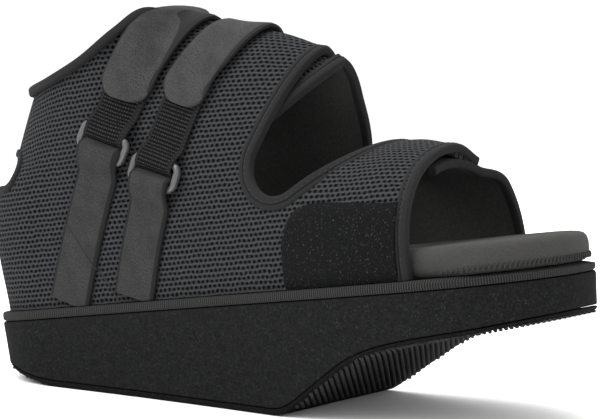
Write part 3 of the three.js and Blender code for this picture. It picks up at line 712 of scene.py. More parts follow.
class Shader:
    """A principled material and short calls that add nodes to it."""

    def __init__(self, name, color, roughness, **values):
        self.material = bpy.data.materials.new(name)
        self.material.use_nodes = True
        self.tree = self.material.node_tree
        self.surface = self.tree.nodes["Principled BSDF"]
        self.surface.inputs["Base Color"].default_value = (*color, 1)
        self.surface.inputs["Roughness"].default_value = roughness
        for key, value in values.items():
            self.surface.inputs[key.replace("_", " ")].default_value = value

    def add(self, kind, inputs=None, **settings):
        node = self.tree.nodes.new(kind)
        for key, value in settings.items():
            setattr(node, key, value)
        for key, value in (inputs or {}).items():
            if isinstance(value, bpy.types.NodeSocket):
                self.tree.links.new(value, node.inputs[key])
            else:
                node.inputs[key].default_value = value
        return node

    def math(self, operation, *values):
        return self.add("ShaderNodeMath", dict(enumerate(values)), operation=operation).outputs[0]

    def cloth(self):
        return self.add("ShaderNodeUVMap", uv_map="Cloth").outputs["UV"]

    def solid(self):
        return self.add("ShaderNodeTexCoord").outputs["Object"]

    def noise(self, vector, scale, detail=3.0, roughness=0.6):
        node = self.add("ShaderNodeTexNoise", {"Vector": vector, "Scale": scale, "Detail": detail,
                                               "Roughness": roughness})
        return node.outputs["Fac"]

    def ranged(self, value, low, high, to_low=0.0, to_high=1.0):
        return self.add("ShaderNodeMapRange", {
            "Value": value, "From Min": low, "From Max": high, "To Min": to_low, "To Max": to_high,
        }, interpolation_type="SMOOTHSTEP").outputs["Result"]

    def tint(self, factor, first, second):
        node = self.add("ShaderNodeMix", data_type="RGBA")
        self.tree.links.new(factor, node.inputs[0])
        for socket, value in ((node.inputs[6], first), (node.inputs[7], second)):
            if isinstance(value, bpy.types.NodeSocket):
                self.tree.links.new(value, socket)
            else:
                socket.default_value = (*value, 1)
        return node.outputs[2]

    def color(self, socket):
        self.tree.links.new(socket, self.surface.inputs["Base Color"])

    def bump(self, height, strength, distance):
        node = self.add("ShaderNodeBump", {"Height": height, "Strength": strength, "Distance": distance})
        self.tree.links.new(node.outputs["Normal"], self.surface.inputs["Normal"])


def sum_of(shader, *values):
    """Adds several sockets."""
    total = values[0]
    for value in values[1:]:
        total = shader.math("ADD", total, value)
    return total


def mesh_cloth(settings):
    """Open spacer mesh: offset rows of slotted holes painted near black as painted shade, between threads
    with a painted highlight on the ridges between rows.
    """
    base = settings.mesh_color
    shader = Shader("spacer_mesh", base, 0.95, Sheen_Weight=0.02, Specular_IOR_Level=0.02)
    cloth = shader.cloth()
    wander = shader.add("ShaderNodeTexNoise", {"Vector": cloth, "Scale": 0.22, "Detail": 2.0})
    shift = {0: wander.outputs["Color"], 1: (1.1, 1.1, 0)}
    moved = shader.add("ShaderNodeVectorMath", shift, operation="MULTIPLY")
    place = shader.add("ShaderNodeVectorMath", {0: cloth, 1: moved.outputs[0]}, operation="ADD")
    split = shader.add("ShaderNodeSeparateXYZ", {0: place.outputs[0]})
    pitch = settings.mesh_pitch / MM
    row = 0.86 * pitch
    along = shader.math("COSINE", shader.math("MULTIPLY", split.outputs["X"], 2 * math.pi / pitch))
    offset = shader.math("COSINE", shader.math("MULTIPLY", split.outputs["Y"], math.pi / row))
    level = shader.math("COSINE", shader.math("MULTIPLY", split.outputs["Y"], 2 * math.pi / row))
    checker = shader.math("MULTIPLY", shader.math("MULTIPLY", along, offset), 2.0)
    total = sum_of(shader, checker, shader.math("MULTIPLY", level, 1.25))
    hole = shader.ranged(total, -0.1, 1.5)
    thread = shader.noise(cloth, 0.8, 3.0, 0.75)
    # Painted highlight: the thread ridges between rows of holes are painted paler, as if lit from above.
    ridge = shader.ranged(level, 0.3, -1.0, 0.0, 0.55)
    strand = shader.tint(shader.ranged(thread, 0.3, 0.72), toned(base, 0.55), toned(base, 1.9))
    lit = shader.tint(ridge, strand, toned(base, 2.3))
    # The holes take a near-black colour: painted shade inside the open holes.
    shader.color(shader.tint(hole, lit, (0.0022, 0.0022, 0.0025)))
    height = shader.math("SUBTRACT", shader.math("MULTIPLY", thread, 0.4), hole)
    shader.bump(height, 0.9, 0.0009)
    return shader.material


def lining_cloth():
    """Brushed lining inside the upper."""
    shader = Shader("brushed_lining", (0.014, 0.014, 0.0137), 1.0, Sheen_Weight=0.03, Specular_IOR_Level=0.02)
    place = shader.solid()
    fuzz = shader.noise(place, 900, 4.0)
    shader.color(shader.tint(fuzz, (0.018, 0.018, 0.018), (0.062, 0.0615, 0.059)))
    shader.bump(fuzz, 0.5, 0.0004)
    return shader.material


def felt_cloth(settings):
    """Brushed grey felt of the insole."""
    base = settings.insole_color
    shader = Shader("insole_felt", base, 1.0, Sheen_Weight=0.04, Specular_IOR_Level=0.02)
    place = shader.solid()
    fine = shader.noise(place, 1500, 4.0)
    broad = shader.noise(place, 60, 3.0)
    nap = shader.tint(fine, toned(base, 0.62), toned(base, 1.5))
    shader.color(shader.tint(shader.ranged(broad, 0.3, 0.8, 0.0, 0.35), nap, toned(base, 0.7)))
    shader.bump(fine, 0.45, 0.0004)
    return shader.material


def speckled_foam(name, scale, base):
    """Black foam or rubber with fine grey specks and small pits."""
    shader = Shader(name, base, 0.85, Specular_IOR_Level=0.03)
    place = shader.solid()
    cells = shader.add("ShaderNodeTexVoronoi", {"Vector": place, "Scale": scale}, feature="F1")
    speck = shader.ranged(cells.outputs["Distance"], 0.38, 0.1)
    patch = shader.ranged(shader.noise(place, scale * 0.3, 2.0), 0.48, 0.6)
    grain = shader.ranged(shader.noise(place, scale * 0.8, 3.0, 0.8), 0.35, 0.65)
    ground = shader.tint(grain, toned(base, 0.7), toned(base, 1.35))
    shader.color(shader.tint(shader.math("MULTIPLY", speck, patch), ground, toned(base, 3.2)))
    shader.bump(grain, 0.35, 0.0003)
    return shader.material


def ribbed_tape(settings):
    """Upright ribs of the woven tape round the footbed."""
    shader = Shader("ribbed_tape", settings.tape_color, 0.9, Sheen_Weight=0.02, Specular_IOR_Level=0.03)
    cloth = shader.cloth()
    split = shader.add("ShaderNodeSeparateXYZ", {0: cloth})
    wave = shader.math("SINE", shader.math("MULTIPLY", split.outputs["X"], 2 * math.pi / 1.05))
    rib = shader.ranged(wave, -0.9, 0.9)
    thread = shader.noise(cloth, 3.0, 3.0)
    base = settings.tape_color
    woven = shader.tint(thread, toned(base, 0.7), toned(base, 1.3))
    shader.color(shader.tint(rib, toned(base, 0.35), woven))
    shader.bump(sum_of(shader, rib, shader.math("MULTIPLY", thread, 0.4)), 0.8, 0.0005)
    return shader.material


def woven_tape(name, base, pitch=0.9):
    """Close woven tape of the edge bindings."""
    shader = Shader(name, base, 0.88, Sheen_Weight=0.03, Specular_IOR_Level=0.03)
    cloth = shader.cloth()
    split = shader.add("ShaderNodeSeparateXYZ", {0: cloth})
    one = shader.math("SINE", shader.math("MULTIPLY", split.outputs["X"], 2 * math.pi / pitch))
    two = shader.math("SINE", shader.math("MULTIPLY", split.outputs["Y"], 2 * math.pi / pitch))
    weave = shader.ranged(shader.math("MULTIPLY", one, two), -1, 1)
    thread = shader.noise(cloth, 2.5, 3.0)
    tone = shader.tint(thread, toned(base, 0.65), toned(base, 1.35))
    shader.color(shader.tint(weave, toned(base, 0.6), tone))
    shader.bump(sum_of(shader, weave, thread), 0.5, 0.0003)
    return shader.material


def edge_selvage_and_shade(shader, width, border):
    """One along both long edges of a band, and nothing between them: the mask of the velour's painted edge
    shade and of the hook tape's plain selvages.
    """
    split = shader.add("ShaderNodeSeparateXYZ", {0: shader.cloth()})
    middle = shader.math("SUBTRACT", split.outputs["Y"], width / 2)
    away = shader.math("ABSOLUTE", middle)
    return shader.ranged(away, width / 2 - border - 0.25, width / 2 - border + 0.25)


def velour_cloth(name, base, width, border):
    """Short loop pile of a strap or tab, with painted shade along both long edges."""
    shader = Shader(name, base, 0.9, Sheen_Weight=0.03, Specular_IOR_Level=0.03)
    cloth = shader.cloth()
    twill = shader.add("ShaderNodeMapping", {0: cloth, "Rotation": (0, 0, 0.7), "Scale": (1.0, 2.0, 1)})
    nap = shader.noise(twill.outputs[0], 1.25, 3.0, 0.8)
    broad = shader.noise(cloth, 0.09, 3.0)
    pile = shader.tint(shader.ranged(nap, 0.34, 0.66), toned(base, 0.5), toned(base, 1.6))
    worn = shader.tint(shader.ranged(broad, 0.35, 0.7, 0.0, 0.45), pile, toned(base, 0.5))
    # Painted shade: both long edges of the band are darkened to 0.45 of the pile colour.
    shader.color(shader.tint(edge_selvage_and_shade(shader, width, border), worn, toned(base, 0.45)))
    shader.bump(nap, 0.5, 0.0005)
    return shader.material


def hook_cloth(name, base, pitch):
    """Loose dark fibres with scattered pale tips."""
    shader = Shader(name, base, 0.9, Sheen_Weight=0.02, Specular_IOR_Level=0.03)
    cloth = shader.cloth()
    cells = shader.add("ShaderNodeTexVoronoi", {"Vector": cloth, "Scale": 1 / pitch}, feature="F1")
    tip = shader.ranged(cells.outputs["Distance"], 0.42, 0.08)
    thread = shader.ranged(shader.noise(cloth, 1.3, 4.0), 0.42, 0.72)
    shader.color(shader.tint(shader.math("MULTIPLY", tip, thread), toned(base, 0.55),
                             toned(base, 9.0)))
    shader.bump(sum_of(shader, tip, thread), 0.9, 0.0006)
    return shader.material


def hook_grid(name, base, width):
    """Woven ground with straight rows of small stiff hooks between two plain edges."""
    shader = Shader(name, base, 0.85, Specular_IOR_Level=0.05)
    split = shader.add("ShaderNodeSeparateXYZ", {0: shader.cloth()})
    rows = shader.math("SINE", shader.math("MULTIPLY", split.outputs["X"], 2 * math.pi / 1.6))
    columns = shader.math("SINE", shader.math("MULTIPLY", split.outputs["Y"], 2 * math.pi / 1.25))
    tip = shader.ranged(sum_of(shader, rows, columns), 0.2, 1.6)
    ladder = shader.ranged(rows, -0.2, 0.9, 0.0, 0.3)
    fuzz = shader.ranged(shader.noise(shader.cloth(), 0.9, 3.0), 0.3, 0.7, 0.35, 1.0)
    pale = shader.math("MULTIPLY", shader.math("MAXIMUM", tip, ladder), fuzz)
    woven = shader.tint(pale, toned(base, 0.25), toned(base, 4.2))
    # The hook tape's two plain selvages take an even tone of their own.
    shader.color(shader.tint(edge_selvage_and_shade(shader, width, 1.6), woven, toned(base, 1.1)))
    shader.bump(sum_of(shader, tip, ladder), 1.0, 0.0008)
    return shader.material


def ring_plastic():
    """Semi gloss moulded plastic of the rings."""
    shader = Shader("ring_plastic", (0.06, 0.06, 0.062), 0.3, Specular_IOR_Level=0.5, Coat_Weight=0.2)
    grain = shader.noise(shader.solid(), 700, 3.0)
    shader.color(shader.tint(grain, (0.045, 0.045, 0.047), (0.075, 0.075, 0.078)))
    shader.bump(grain, 0.12, 0.0002)
    return shader.material


def thread_material():
    """Twisted sewing thread."""
    shader = Shader("sewing_thread", (0.02, 0.02, 0.02), 0.8, Specular_IOR_Level=0.1)
    twist = shader.noise(shader.solid(), 2500, 2.0)
    shader.color(shader.tint(twist, (0.012, 0.012, 0.012), (0.045, 0.045, 0.044)))
    shader.bump(twist, 0.3, 0.0002)
    return shader.material


# Pieces
def stations(count=60):
    """Places along the sole, closer together round the heel and the toe."""
    heel = HEEL_HALF * (1 - np.cos(np.linspace(0, math.pi / 2, 18)))
    toe = np.sort(LENGTH - TOE_CAP * (1 - np.sin(np.linspace(0, math.pi / 2, 20)) ** (2 / TOE_SQUARENESS)))
    middle = np.linspace(HEEL_HALF, LENGTH - TOE_CAP, count)[1:-1]
    return np.unique(np.round(np.concatenate([heel, middle, toe, [LENGTH]]), 4))


def sole_layer(levels):
    """A closed layer of the sole. Each level gives the inset and the height at the stations."""
    along = stations()
    sides = {}
    for side in (NEAR, FAR):
        full = half_width(side, along)
        edge = smooth(0, HEEL_HALF, along) * smooth(0, TOE_CAP, LENGTH - along)
        rows = []
        for level in levels:
            inset, up = level(along)
            squeeze = 1 - inset / np.maximum(full, HEEL_HALF)
            slide = inset * (1 - 2 * along / LENGTH) * (1 - edge)
            rows.append(np.stack([along + slide, side * full * squeeze, up + 0 * along], -1))
        sides[side] = rows
    loop = sides[NEAR] + sides[FAR][::-1]
    return np.stack(loop, 1)


def tread_zone(x):
    """One where the underside is ribbed and none over the smooth ground pad."""
    return np.clip(np.maximum((PAD_START - 3 - x) / 4, (x - PAD_END - 1) / 4), 0, 1)


TREAD_UP = np.interp(BED_ALONG, BED_ALONG, TREAD_DEPTH * tread_zone(FINE_X))


def outsole_under(along):
    """Height of the outsole's own underside, above its ribs."""
    return underside(along) + np.interp(along, BED_ALONG, TREAD_UP)


def make_outsole():
    """The outsole sheet with its slanted tread ribs."""
    draft = lambda up: SIDE_DRAFT * np.maximum(0, -up)
    top = lambda along: underside(along) + OUTSOLE
    levels = [
        lambda along: (draft(top(along)) + 0.8, top(along)),
        lambda along: (draft(top(along)) + 0.15, top(along) - 0.2),
        lambda along: (draft(top(along)), top(along) - 0.6),
        lambda along: (draft(outsole_under(along)) + 0.1, outsole_under(along) + 0.6),
        lambda along: (draft(outsole_under(along)) + 0.5, outsole_under(along)),
    ]
    bm = grid_mesh(sole_layer(levels), wrap=True)
    ribs = bmesh.new()
    for start in np.arange(-60, TOE_UNDER_REACH + 60, TREAD_PITCH):
        across = np.arange(-BALL_HALF, BALL_HALF + 0.1, 2.6)
        x = start - TREAD_SLANT * across
        along, up = to_bed(x, floor_profile(x))
        inside = np.where(across < 0, half_width(NEAR, along), half_width(FAR, along))
        inside = inside - draft(up) - TREAD_MARGIN
        kept = (np.abs(across) < inside) & (tread_zone(x) > 0.9) & (along > 2) & (along < LENGTH - 2)
        for piece in np.split(np.arange(len(x)), np.where(np.diff(kept.astype(int)) != 0)[0] + 1):
            if kept[piece[0]] and len(piece) > 1:
                merge_into(ribs, tread_rib(x[piece], across[piece]))
    rubber = speckled_foam("tread_rubber", 1100, (0.006, 0.006, 0.0063))
    dress(add_object("outsole_sheet", bm, rubber), "rubber", "outsole")
    # The ribs take a five times paler copy of the tread rubber: painted highlight on their crests.
    lit_crest_rubber = speckled_foam("tread_crest_highlight", 900, (0.03, 0.03, 0.031))
    dress(add_object("outsole_tread", ribs, lit_crest_rubber), "rubber")


def tread_rib(x, across):
    """One rounded rib of the tread along a slanted line."""
    height = floor_profile(x)
    slope = np.arctan2(floor_profile(x + 1) - floor_profile(x - 1), 2)
    angles = np.radians((0, 40, 90, 140, 180, 270))
    wide = TREAD_HALF_WIDTH * np.cos(angles)
    deep = np.array((0.05, 0.72, 1.0, 0.72, 0.05, -0.25)) * TREAD_DEPTH
    base_x = x - TREAD_DEPTH * np.sin(slope) - PAD_MIDDLE
    base_z = height + TREAD_DEPTH * np.cos(slope)
    cos = np.cos(slope)[:, None]
    sin = np.sin(slope)[:, None]
    lengthways, sideways = TREAD_TURN
    points = np.stack([
        base_x[:, None] + wide * lengthways * cos + deep * sin,
        across[:, None] + wide * sideways + 0 * cos,
        base_z[:, None] + wide * lengthways * sin - deep * cos,
    ], -1)
    return grid_mesh(points * MM, wrap=True, placed=True)


def make_midsole(settings):
    """The foam wedge between the outsole and the footbed."""
    draft = lambda up: SIDE_DRAFT * np.maximum(0, -up)
    bottom = lambda along: underside(along) + OUTSOLE + GAP
    levels = [
        lambda along: (1.4, 0.0),
        lambda along: (0.35, -0.3),
        lambda along: (0.0, -1.2),
        lambda along: (draft(bottom(along) * 0.5), bottom(along) * 0.5),
        lambda along: (draft(bottom(along)), bottom(along) + 0.35),
        lambda along: (draft(bottom(along)) + 0.4, bottom(along)),
    ]
    bm = grid_mesh(sole_layer(levels), wrap=True)
    foam = speckled_foam("wedge_foam", 1050, settings.sole_color)
    dress(add_object("midsole_wedge", bm, foam), "foam", "midsole")


def make_welt(settings):
    """The ribbed strip round the footbed, with a lip that widens at the toe."""
    lip = lambda along: WELT_LIP * smooth(TOE_EDGE - 6, TOE_EDGE + 34, along)
    levels = [
        lambda along: (1.1 + lip(along), WELT_TOP),
        lambda along: (0.35 + 0.75 * lip(along), WELT_TOP - 0.25),
        lambda along: (0.0, WELT_TOP - WELT * 0.35),
        lambda along: (0.0, GAP + 0.7),
        lambda along: (0.5, GAP),
    ]
    points = sole_layer(levels)
    points = np.concatenate([points, points[:, :1]], 1)
    run = np.concatenate([[0], np.cumsum(np.linalg.norm(np.diff(points[:, 2], axis=0), axis=-1))])
    uv = run_uv(points)
    uv[..., 0] = run[:, None]
    bm = grid_mesh(points[:, :-1], uv=uv[:, :-1], wrap=True)
    dress(add_object("welt_tape", bm, ribbed_tape(settings)), "tape", "welt")


def insole_inset(along):
    """How far the insole stays inside the edge of the sole."""
    behind_wall = WELT_LEDGE + WALL + 2.2
    return mix(behind_wall, INSOLE_REST, smooth(TOE_EDGE, TOE_EDGE + 26, along))


def make_insole(settings):
    """The thick felt covered pad, with its rounded edge and overlock stitches."""
    def level(share, extra):
        return lambda along: (insole_inset(along) + extra * INSOLE, BASE + share * INSOLE)

    rim = [(1.00, 0.75), (1.0, 0.45), (0.975, 0.27), (0.91, 0.12), (0.80, 0.04), (0.62, 0.0),
           (0.42, 0.0), (0.22, 0.02), (0.08, 0.08), (0.0, 0.18)]
    bm = grid_mesh(sole_layer([level(*row) for row in rim]), wrap=True)
    pad = dress(add_object("insole_pad", bm, felt_cloth(settings)), "pad", "insole")
    along = stations()
    bm = bmesh.new()
    for side in (NEAR, FAR):
        wide = side * half_width(side, along) * (1 - insole_inset(along) / HEEL_HALF)
        shown = along > TOE_EDGE - 16
        edge = smooth(0, HEEL_HALF, along) * smooth(0, TOE_CAP, LENGTH - along)
        place = along + insole_inset(along) * (1 - 2 * along / LENGTH) * (1 - edge)
        points = np.stack([place, wide, np.full_like(wide, BASE + 0.17 * INSOLE)], -1)[shown]
        tangent = np.gradient(points, axis=0)
        outs = np.cross(tangent, (0, 0, 1)) * side
        outs = outs / (np.linalg.norm(outs, axis=-1, keepdims=True) + 1e-9)
        if np.dot(outs[0], (0, side, 0)) < 0:
            outs = -outs
        stitch_row(bm, points, outs, length=3.0, pitch=2.0, radius=0.5, lift=0.15, slant=1.1)
    dress(add_object("insole_stitches", bm, thread_material()), "pad")


def flap_top(side, around):
    """The height share where a flap's cloth ends under its binding."""
    end = 1 + overlap(around, side)
    size = 1.6 * HEIGHT
    return end - TRIM / size * (1 + 0.35 * (around > COLLAR_START))


def cloth_half(side, columns=150, rows=56):
    """One side of the upper as a closed wall, before its cuts."""
    around = np.linspace(TOE_BAND * TRIM / BINDING, 1, columns)
    t = np.linspace(0, 1, rows)[None, :] * flap_top(side, around)[:, None]
    across = around[:, None] + 0 * t
    depth = sink(side, across, t)
    puff = 0.5 * soft_relief(side, across, t)
    outer = lifted(side, across, t, puff - depth)
    padding = FLAP_PADDING * smooth(0.96, 1.03, t) * (1 - smooth(0.03, 0.12, across)) * (side == NEAR)
    inner = lifted(side, across, t, -WALL - depth - padding)
    outer[-1, :, 1] = 0
    inner[-1, :, 1] = 0
    uv = cloth_uv(surface(side, across, t))
    uv[..., 0] = uv[-1, 0, 0] - uv[..., 0]
    points = np.concatenate([outer, inner[:, ::-1]], 1)
    return grid_mesh(points, uv=np.concatenate([uv, uv[:, ::-1]], 1), wrap=True)


def soft_relief(side, around, t):
    """Shallow troughs and swells where padding, straps and seams pull the cloth."""
    swell = 0.9 * np.sin(2 * math.pi * (1.6 * around + 0.35 * t)) * np.sin(math.pi * np.clip(t, 0, 1))
    ankle = -1.3 * np.exp(-(((around - 0.73) / 0.03) ** 2 + ((t - 0.55) / 0.3) ** 2))
    behind = -1.0 * np.exp(-(((around - 0.66 - 0.12 * (t - 0.5)) / 0.018) ** 2 + ((t - 0.6) / 0.35) ** 2))
    return swell + ankle + behind


def make_upper(settings):
    """The mesh upper: two halves, each cut at its throat and heel opening, joined at the heel."""
    halves = []
    for side in (NEAR, FAR):
        bm = cloth_half(side)
        half = add_object("half", bm)
        rear, arc, front = throat_outline(side, TRIM)
        low = -2 * BALL_HALF if side == NEAR else 0
        prisms = [side_prism([rear, *arc, front], low), side_prism(slot_outline(TRIM))]
        if side == FAR:
            prisms.append(side_prism(tuck_outline(TRIM), -2 * BALL_HALF, 0))
        cut_away(half, prisms)
        halves.append(half)
    bm = bmesh.new()
    for half in halves:
        bm.from_mesh(half.data)
        bpy.data.objects.remove(half)
    joint = [face for face in bm.faces if all(abs(v.co.y) < 2e-6 for v in face.verts)]
    bmesh.ops.delete(bm, geom=joint, context="FACES")
    bmesh.ops.remove_doubles(bm, verts=bm.verts, dist=2e-6)
    middle = Vector(to_row((LENGTH * 0.4, 0, HEIGHT * 0.25)))
    bmesh.ops.recalc_face_normals(bm, faces=bm.faces)
    for face in bm.faces:
        centre = face.calc_center_median()
        outward = Vector((0.25 * (centre.x - middle.x), centre.y, 0.6 * (centre.z - middle.z)))
        face.material_index = 0 if face.normal.dot(outward) > 0 else 1
    upper = add_object("upper_cloth", bm, mesh_cloth(settings), lining_cloth(), sharp=50)
    dress(upper, "mesh_fabric", "upper")


def make_bindings(settings):
    """Folded tapes on the collar, the throat, the toe edges and the heel opening."""
    tape = woven_tape("edge_binding", settings.binding_color)
    starts = {}
    for side, name in ((NEAR, "near"), (FAR, "far")):
        route = throat_route(side)
        starts[side] = route[0][0]
        opening = surface(side, 0.30, 0.85)
        opening[0] = THROAT_ALONG + 12
        opening[2] = THROAT_UP + 10
        sides = [side] * len(route)
        bm = edge_tape(route, sides, opening, band=THROAT_BAND)
        dress(add_object(f"throat_tape_{name}", bm, tape), "binding", f"binding_throat_{name}")
        t = np.linspace(0.0, 1 + FLAP_OVERLAP, 60)
        toe = np.stack([np.full_like(t, 0.0005), t], -1)
        bm = edge_tape(toe, [side] * len(toe), AHEAD_OF_TOE, band=TOE_TAPE_BAND)
        dress(add_object(f"toe_tape_{name}", bm, tape), "binding", f"binding_toe_{name}")
    near = np.linspace(starts[NEAR], 1, 150)
    far = np.linspace(1, starts[FAR], 150)[1:]
    route = [(a, 1 + float(overlap(a))) for a in near] + [(a, 1 + float(overlap(a, FAR))) for a in far]
    sides = [NEAR] * len(near) + [FAR] * len(far)
    bm = edge_tape(route, sides, (LENGTH * 0.25, 0, HEIGHT * 1.4))
    dress(add_object("collar_tape", bm, tape), "binding", "binding_collar")
    rows = slot_route()
    bm = edge_tape([(a, t) for _, a, t in rows], [s for s, _, _ in rows],
                   (4, 0, SLOT_HEIGHT), ring=True)
    dress(add_object("heel_opening_tape", bm, tape), "binding", "binding_heel_opening")


def make_hook_patch():
    """The dark hook patch on the near side of the forefoot."""
    rear = LENGTH * PATCH_REAR
    front = TOE_EDGE - BINDING - 0.8
    crown = HEIGHT * PATCH_CROWN
    corner = rear + PATCH_RADIUS * (1 - np.cos(np.linspace(0, math.pi / 2, 12)))
    along = np.concatenate([corner, np.linspace(corner[-1], front, 26)[1:]])
    into = np.clip((rear + PATCH_RADIUS - along) / PATCH_RADIUS, 0, 1)
    top = crown - PATCH_RADIUS + PATCH_RADIUS * np.sqrt(np.clip(1 - into ** 2, 0, 1))
    top = top - PATCH_DROP * smooth(rear + PATCH_RADIUS, front, along)
    rows = 18
    places = np.zeros((len(along), rows, 2))
    guess = (0.18, 0.1)
    for i, place in enumerate(along):
        for j, up in enumerate(np.linspace(BASE + 0.3, top[i], rows)):
            guess = locate(NEAR, place, up, guess if j else (places[i - 1, 0] if i else guess))
            places[i, j] = guess
    around = places[..., 0]
    t = places[..., 1]
    edge = np.minimum(np.linspace(0, 1, rows)[None, :] * 9, np.linspace(1, 0, rows)[None, :] * 9)
    lift = 0.5 + 1.0 * np.clip(edge, 0, 1) + 0 * t
    outer = lifted(NEAR, around, t, lift + 0.45 * soft_relief(NEAR, around, t))
    inner = lifted(NEAR, around, t, 0 * lift - 0.3)
    bm = grid_mesh(np.concatenate([outer, inner[:, ::-1]], 1), wrap=True)
    patch = hook_cloth("hook_pile", (0.0095, 0.0098, 0.0102), 1.3)
    dress(add_object("hook_patch_pile", bm, patch), "hook_tape", "hook_patch")


def strap_middle(row, names, up):
    """A strap's middle line at a height, and how far its slope stretches its width."""
    points = [(row[name][0] * LENGTH, row[name][1] * HEIGHT) for name in names]
    (x0, z0), (x1, z1) = points[0], points[1]
    points.insert(0, (x0 - (x1 - x0) * 0.3, z0 - (z1 - z0) * 0.3))
    (x0, z0), (x1, z1) = points[-2], points[-1]
    points.append((x1 + (x1 - x0) * 0.5, z1 + (z1 - z0) * 0.5))
    xs, zs = zip(*points)
    slope = (np.interp(up + 3, zs, xs) - np.interp(up - 3, zs, xs)) / 6
    return np.interp(up, zs, xs), np.sqrt(1 + slope ** 2)


def strap_around(side, row, names, t, off):
    """Where a strap's line lies on the surface at each height share and distance off its middle."""
    def score(around):
        point = surface(side, around, t)
        middle, stretch = strap_middle(row, names, point[..., 2])
        return point[..., 0] - middle - off * stretch

    return bisect(score, np.full(t.shape, 0.05), np.full(t.shape, 0.98))


def square_rows(side, row, names, t, off, ease):
    """Height shares that keep a band's rows square to its own middle line."""
    grid = t[:, None] + 0 * off
    for _ in range(5):
        around = strap_around(side, row, names, grid, off)
        point = surface(side, around, grid)
        middle = grid.shape[1] // 2
        _, stretch = strap_middle(row, names, point[:, middle:middle + 1, 2])
        rise = 1 / stretch
        lean = np.sqrt(np.clip(1 - rise ** 2, 0, 1))
        place = point[..., 2] * rise + point[..., 0] * lean
        centre = place[:, middle]
        rate = np.gradient(centre, t)
        grid = np.clip(grid - (ease * (place - centre[:, None])) / rate[:, None], 0.001, 1.0)
    return grid


def band_points(side, row, names, t, half, low, thick, corner=0.5, ease=1.0):
    """Points round a flat band on the surface along height shares t, with its half widths and lifts."""
    count = 15
    off = np.linspace(-1, 1, count)[None, :] * np.asarray(half)[:, None]
    ease = np.broadcast_to(np.asarray(ease, float), t.shape)[:, None]
    heights = square_rows(side, row, names, t, off, ease)
    around = strap_around(side, row, names, heights, off)
    near_edge = np.clip((np.asarray(half)[:, None] - np.abs(off)) / corner, 0, 1)
    round_top = thick * (0.72 + 0.28 * np.sqrt(1 - (1 - near_edge) ** 2))
    lift = np.asarray(low)[:, None] + 0 * off
    outer = lifted(side, around, heights, lift + round_top)
    inner = lifted(side, around, heights, lift)
    return np.concatenate([outer, inner[:, ::-1]], 1)


def bridge(before, after, rows=7):
    """Rows that carry a band on from one sheet to the next without a kink."""
    gap = np.minimum(np.linalg.norm(after[0] - before[-1], axis=-1, keepdims=True), BRIDGE_PULL)
    start = before[-1] - before[-2]
    end = after[1] - after[0]
    start = start / np.linalg.norm(start, axis=-1, keepdims=True) * gap
    end = end / np.linalg.norm(end, axis=-1, keepdims=True) * gap
    s = np.linspace(0, 1, rows + 2)[1:-1, None, None]
    return ((2 * s ** 3 - 3 * s ** 2 + 1) * before[-1] + (s ** 3 - 2 * s ** 2 + s) * start
            + (3 * s ** 2 - 2 * s ** 3) * after[0] + (s ** 3 - s ** 2) * end)


def run_lengths(side, row, names, t):
    """Distance along a band's middle at each height share."""
    middle = surface(side, strap_around(side, row, names, t, 0 * t), t)
    return np.concatenate([[0], np.cumsum(np.linalg.norm(np.diff(middle, axis=0), axis=-1))])


def height_share(row, names, up):
    """The near side's height share at which a strap's middle passes a height."""
    t = np.linspace(0.0, 1.0, 200)
    around = strap_around(NEAR, row, names, t, np.zeros(200))
    return float(np.interp(up, surface(NEAR, around, t)[..., 2], t))


def make_straps(settings):
    """Both top straps, from the rounded end on the near side over the instep to the far welt."""
    velour = velour_cloth("strap_velour", settings.strap_color, STRAP_WIDTH, 0.7)
    for name, row in STRAPS.items():
        tip = row["end"][1] * HEIGHT - STRAP_WIDTH / 2 * 0.95
        start = height_share(row, UPPER_LINE, tip)
        near_t = start + (0.97 - start) * np.linspace(0, 1, 60) ** 1.5
        far_t = np.linspace(0.97, 0.015, 90)
        lengths = run_lengths(NEAR, row, UPPER_LINE, near_t)
        ease = 1 - smooth(0.45, 0.97, near_t)
        into = np.clip(STRAP_TIP_RADIUS - lengths, 0, STRAP_TIP_RADIUS)
        rounded = np.sqrt(np.maximum(STRAP_TIP_RADIUS ** 2 - into ** 2, 0.02))
        wide = STRAP_WIDTH / 2 - STRAP_TIP_RADIUS + rounded
        low = STRAP_LIFT + STRAP_ARCH * smooth(0.8, 1, near_t)
        near_part = band_points(NEAR, row, UPPER_LINE, near_t, wide, low, STRAP_THICK, ease=ease)
        far_low = mix(HOOK_LIFT, STRAP_LIFT, smooth(0.55, 0.95, far_t)) + STRAP_ARCH * smooth(0.8, 1, far_t)
        far_wide = np.full(len(far_t), STRAP_WIDTH / 2)
        far_part = band_points(FAR, row, WHOLE_LINE, far_t, far_wide, far_low, STRAP_THICK, ease=0.0)
        bm = grid_mesh(np.concatenate([near_part, bridge(near_part, far_part), far_part]), wrap=True)
        dress(add_object(f"strap_{name}_velour", bm, velour), "velour", f"strap_{name}")


def lower_tab(row, low_end, velour, name):
    """A lower tab from the welt up to its fold over the ring."""
    t = np.linspace(0.012, low_end, 64)
    over = smooth(low_end - 0.095, low_end - 0.04, t) * (1 - 0.75 * smooth(low_end - 0.016, low_end, t))
    lift = TAB_LIFT + (RING_LIFT + RING_BAR - 0.1) * over
    half = np.full(len(t), STRAP_WIDTH / 2 - 1)
    bm = grid_mesh(band_points(NEAR, row, WHOLE_LINE, t, half, lift, STRAP_THICK), wrap=True)
    dress(add_object(f"lower_tab_{name}", bm, velour), "velour", f"tab_lower_{name}")


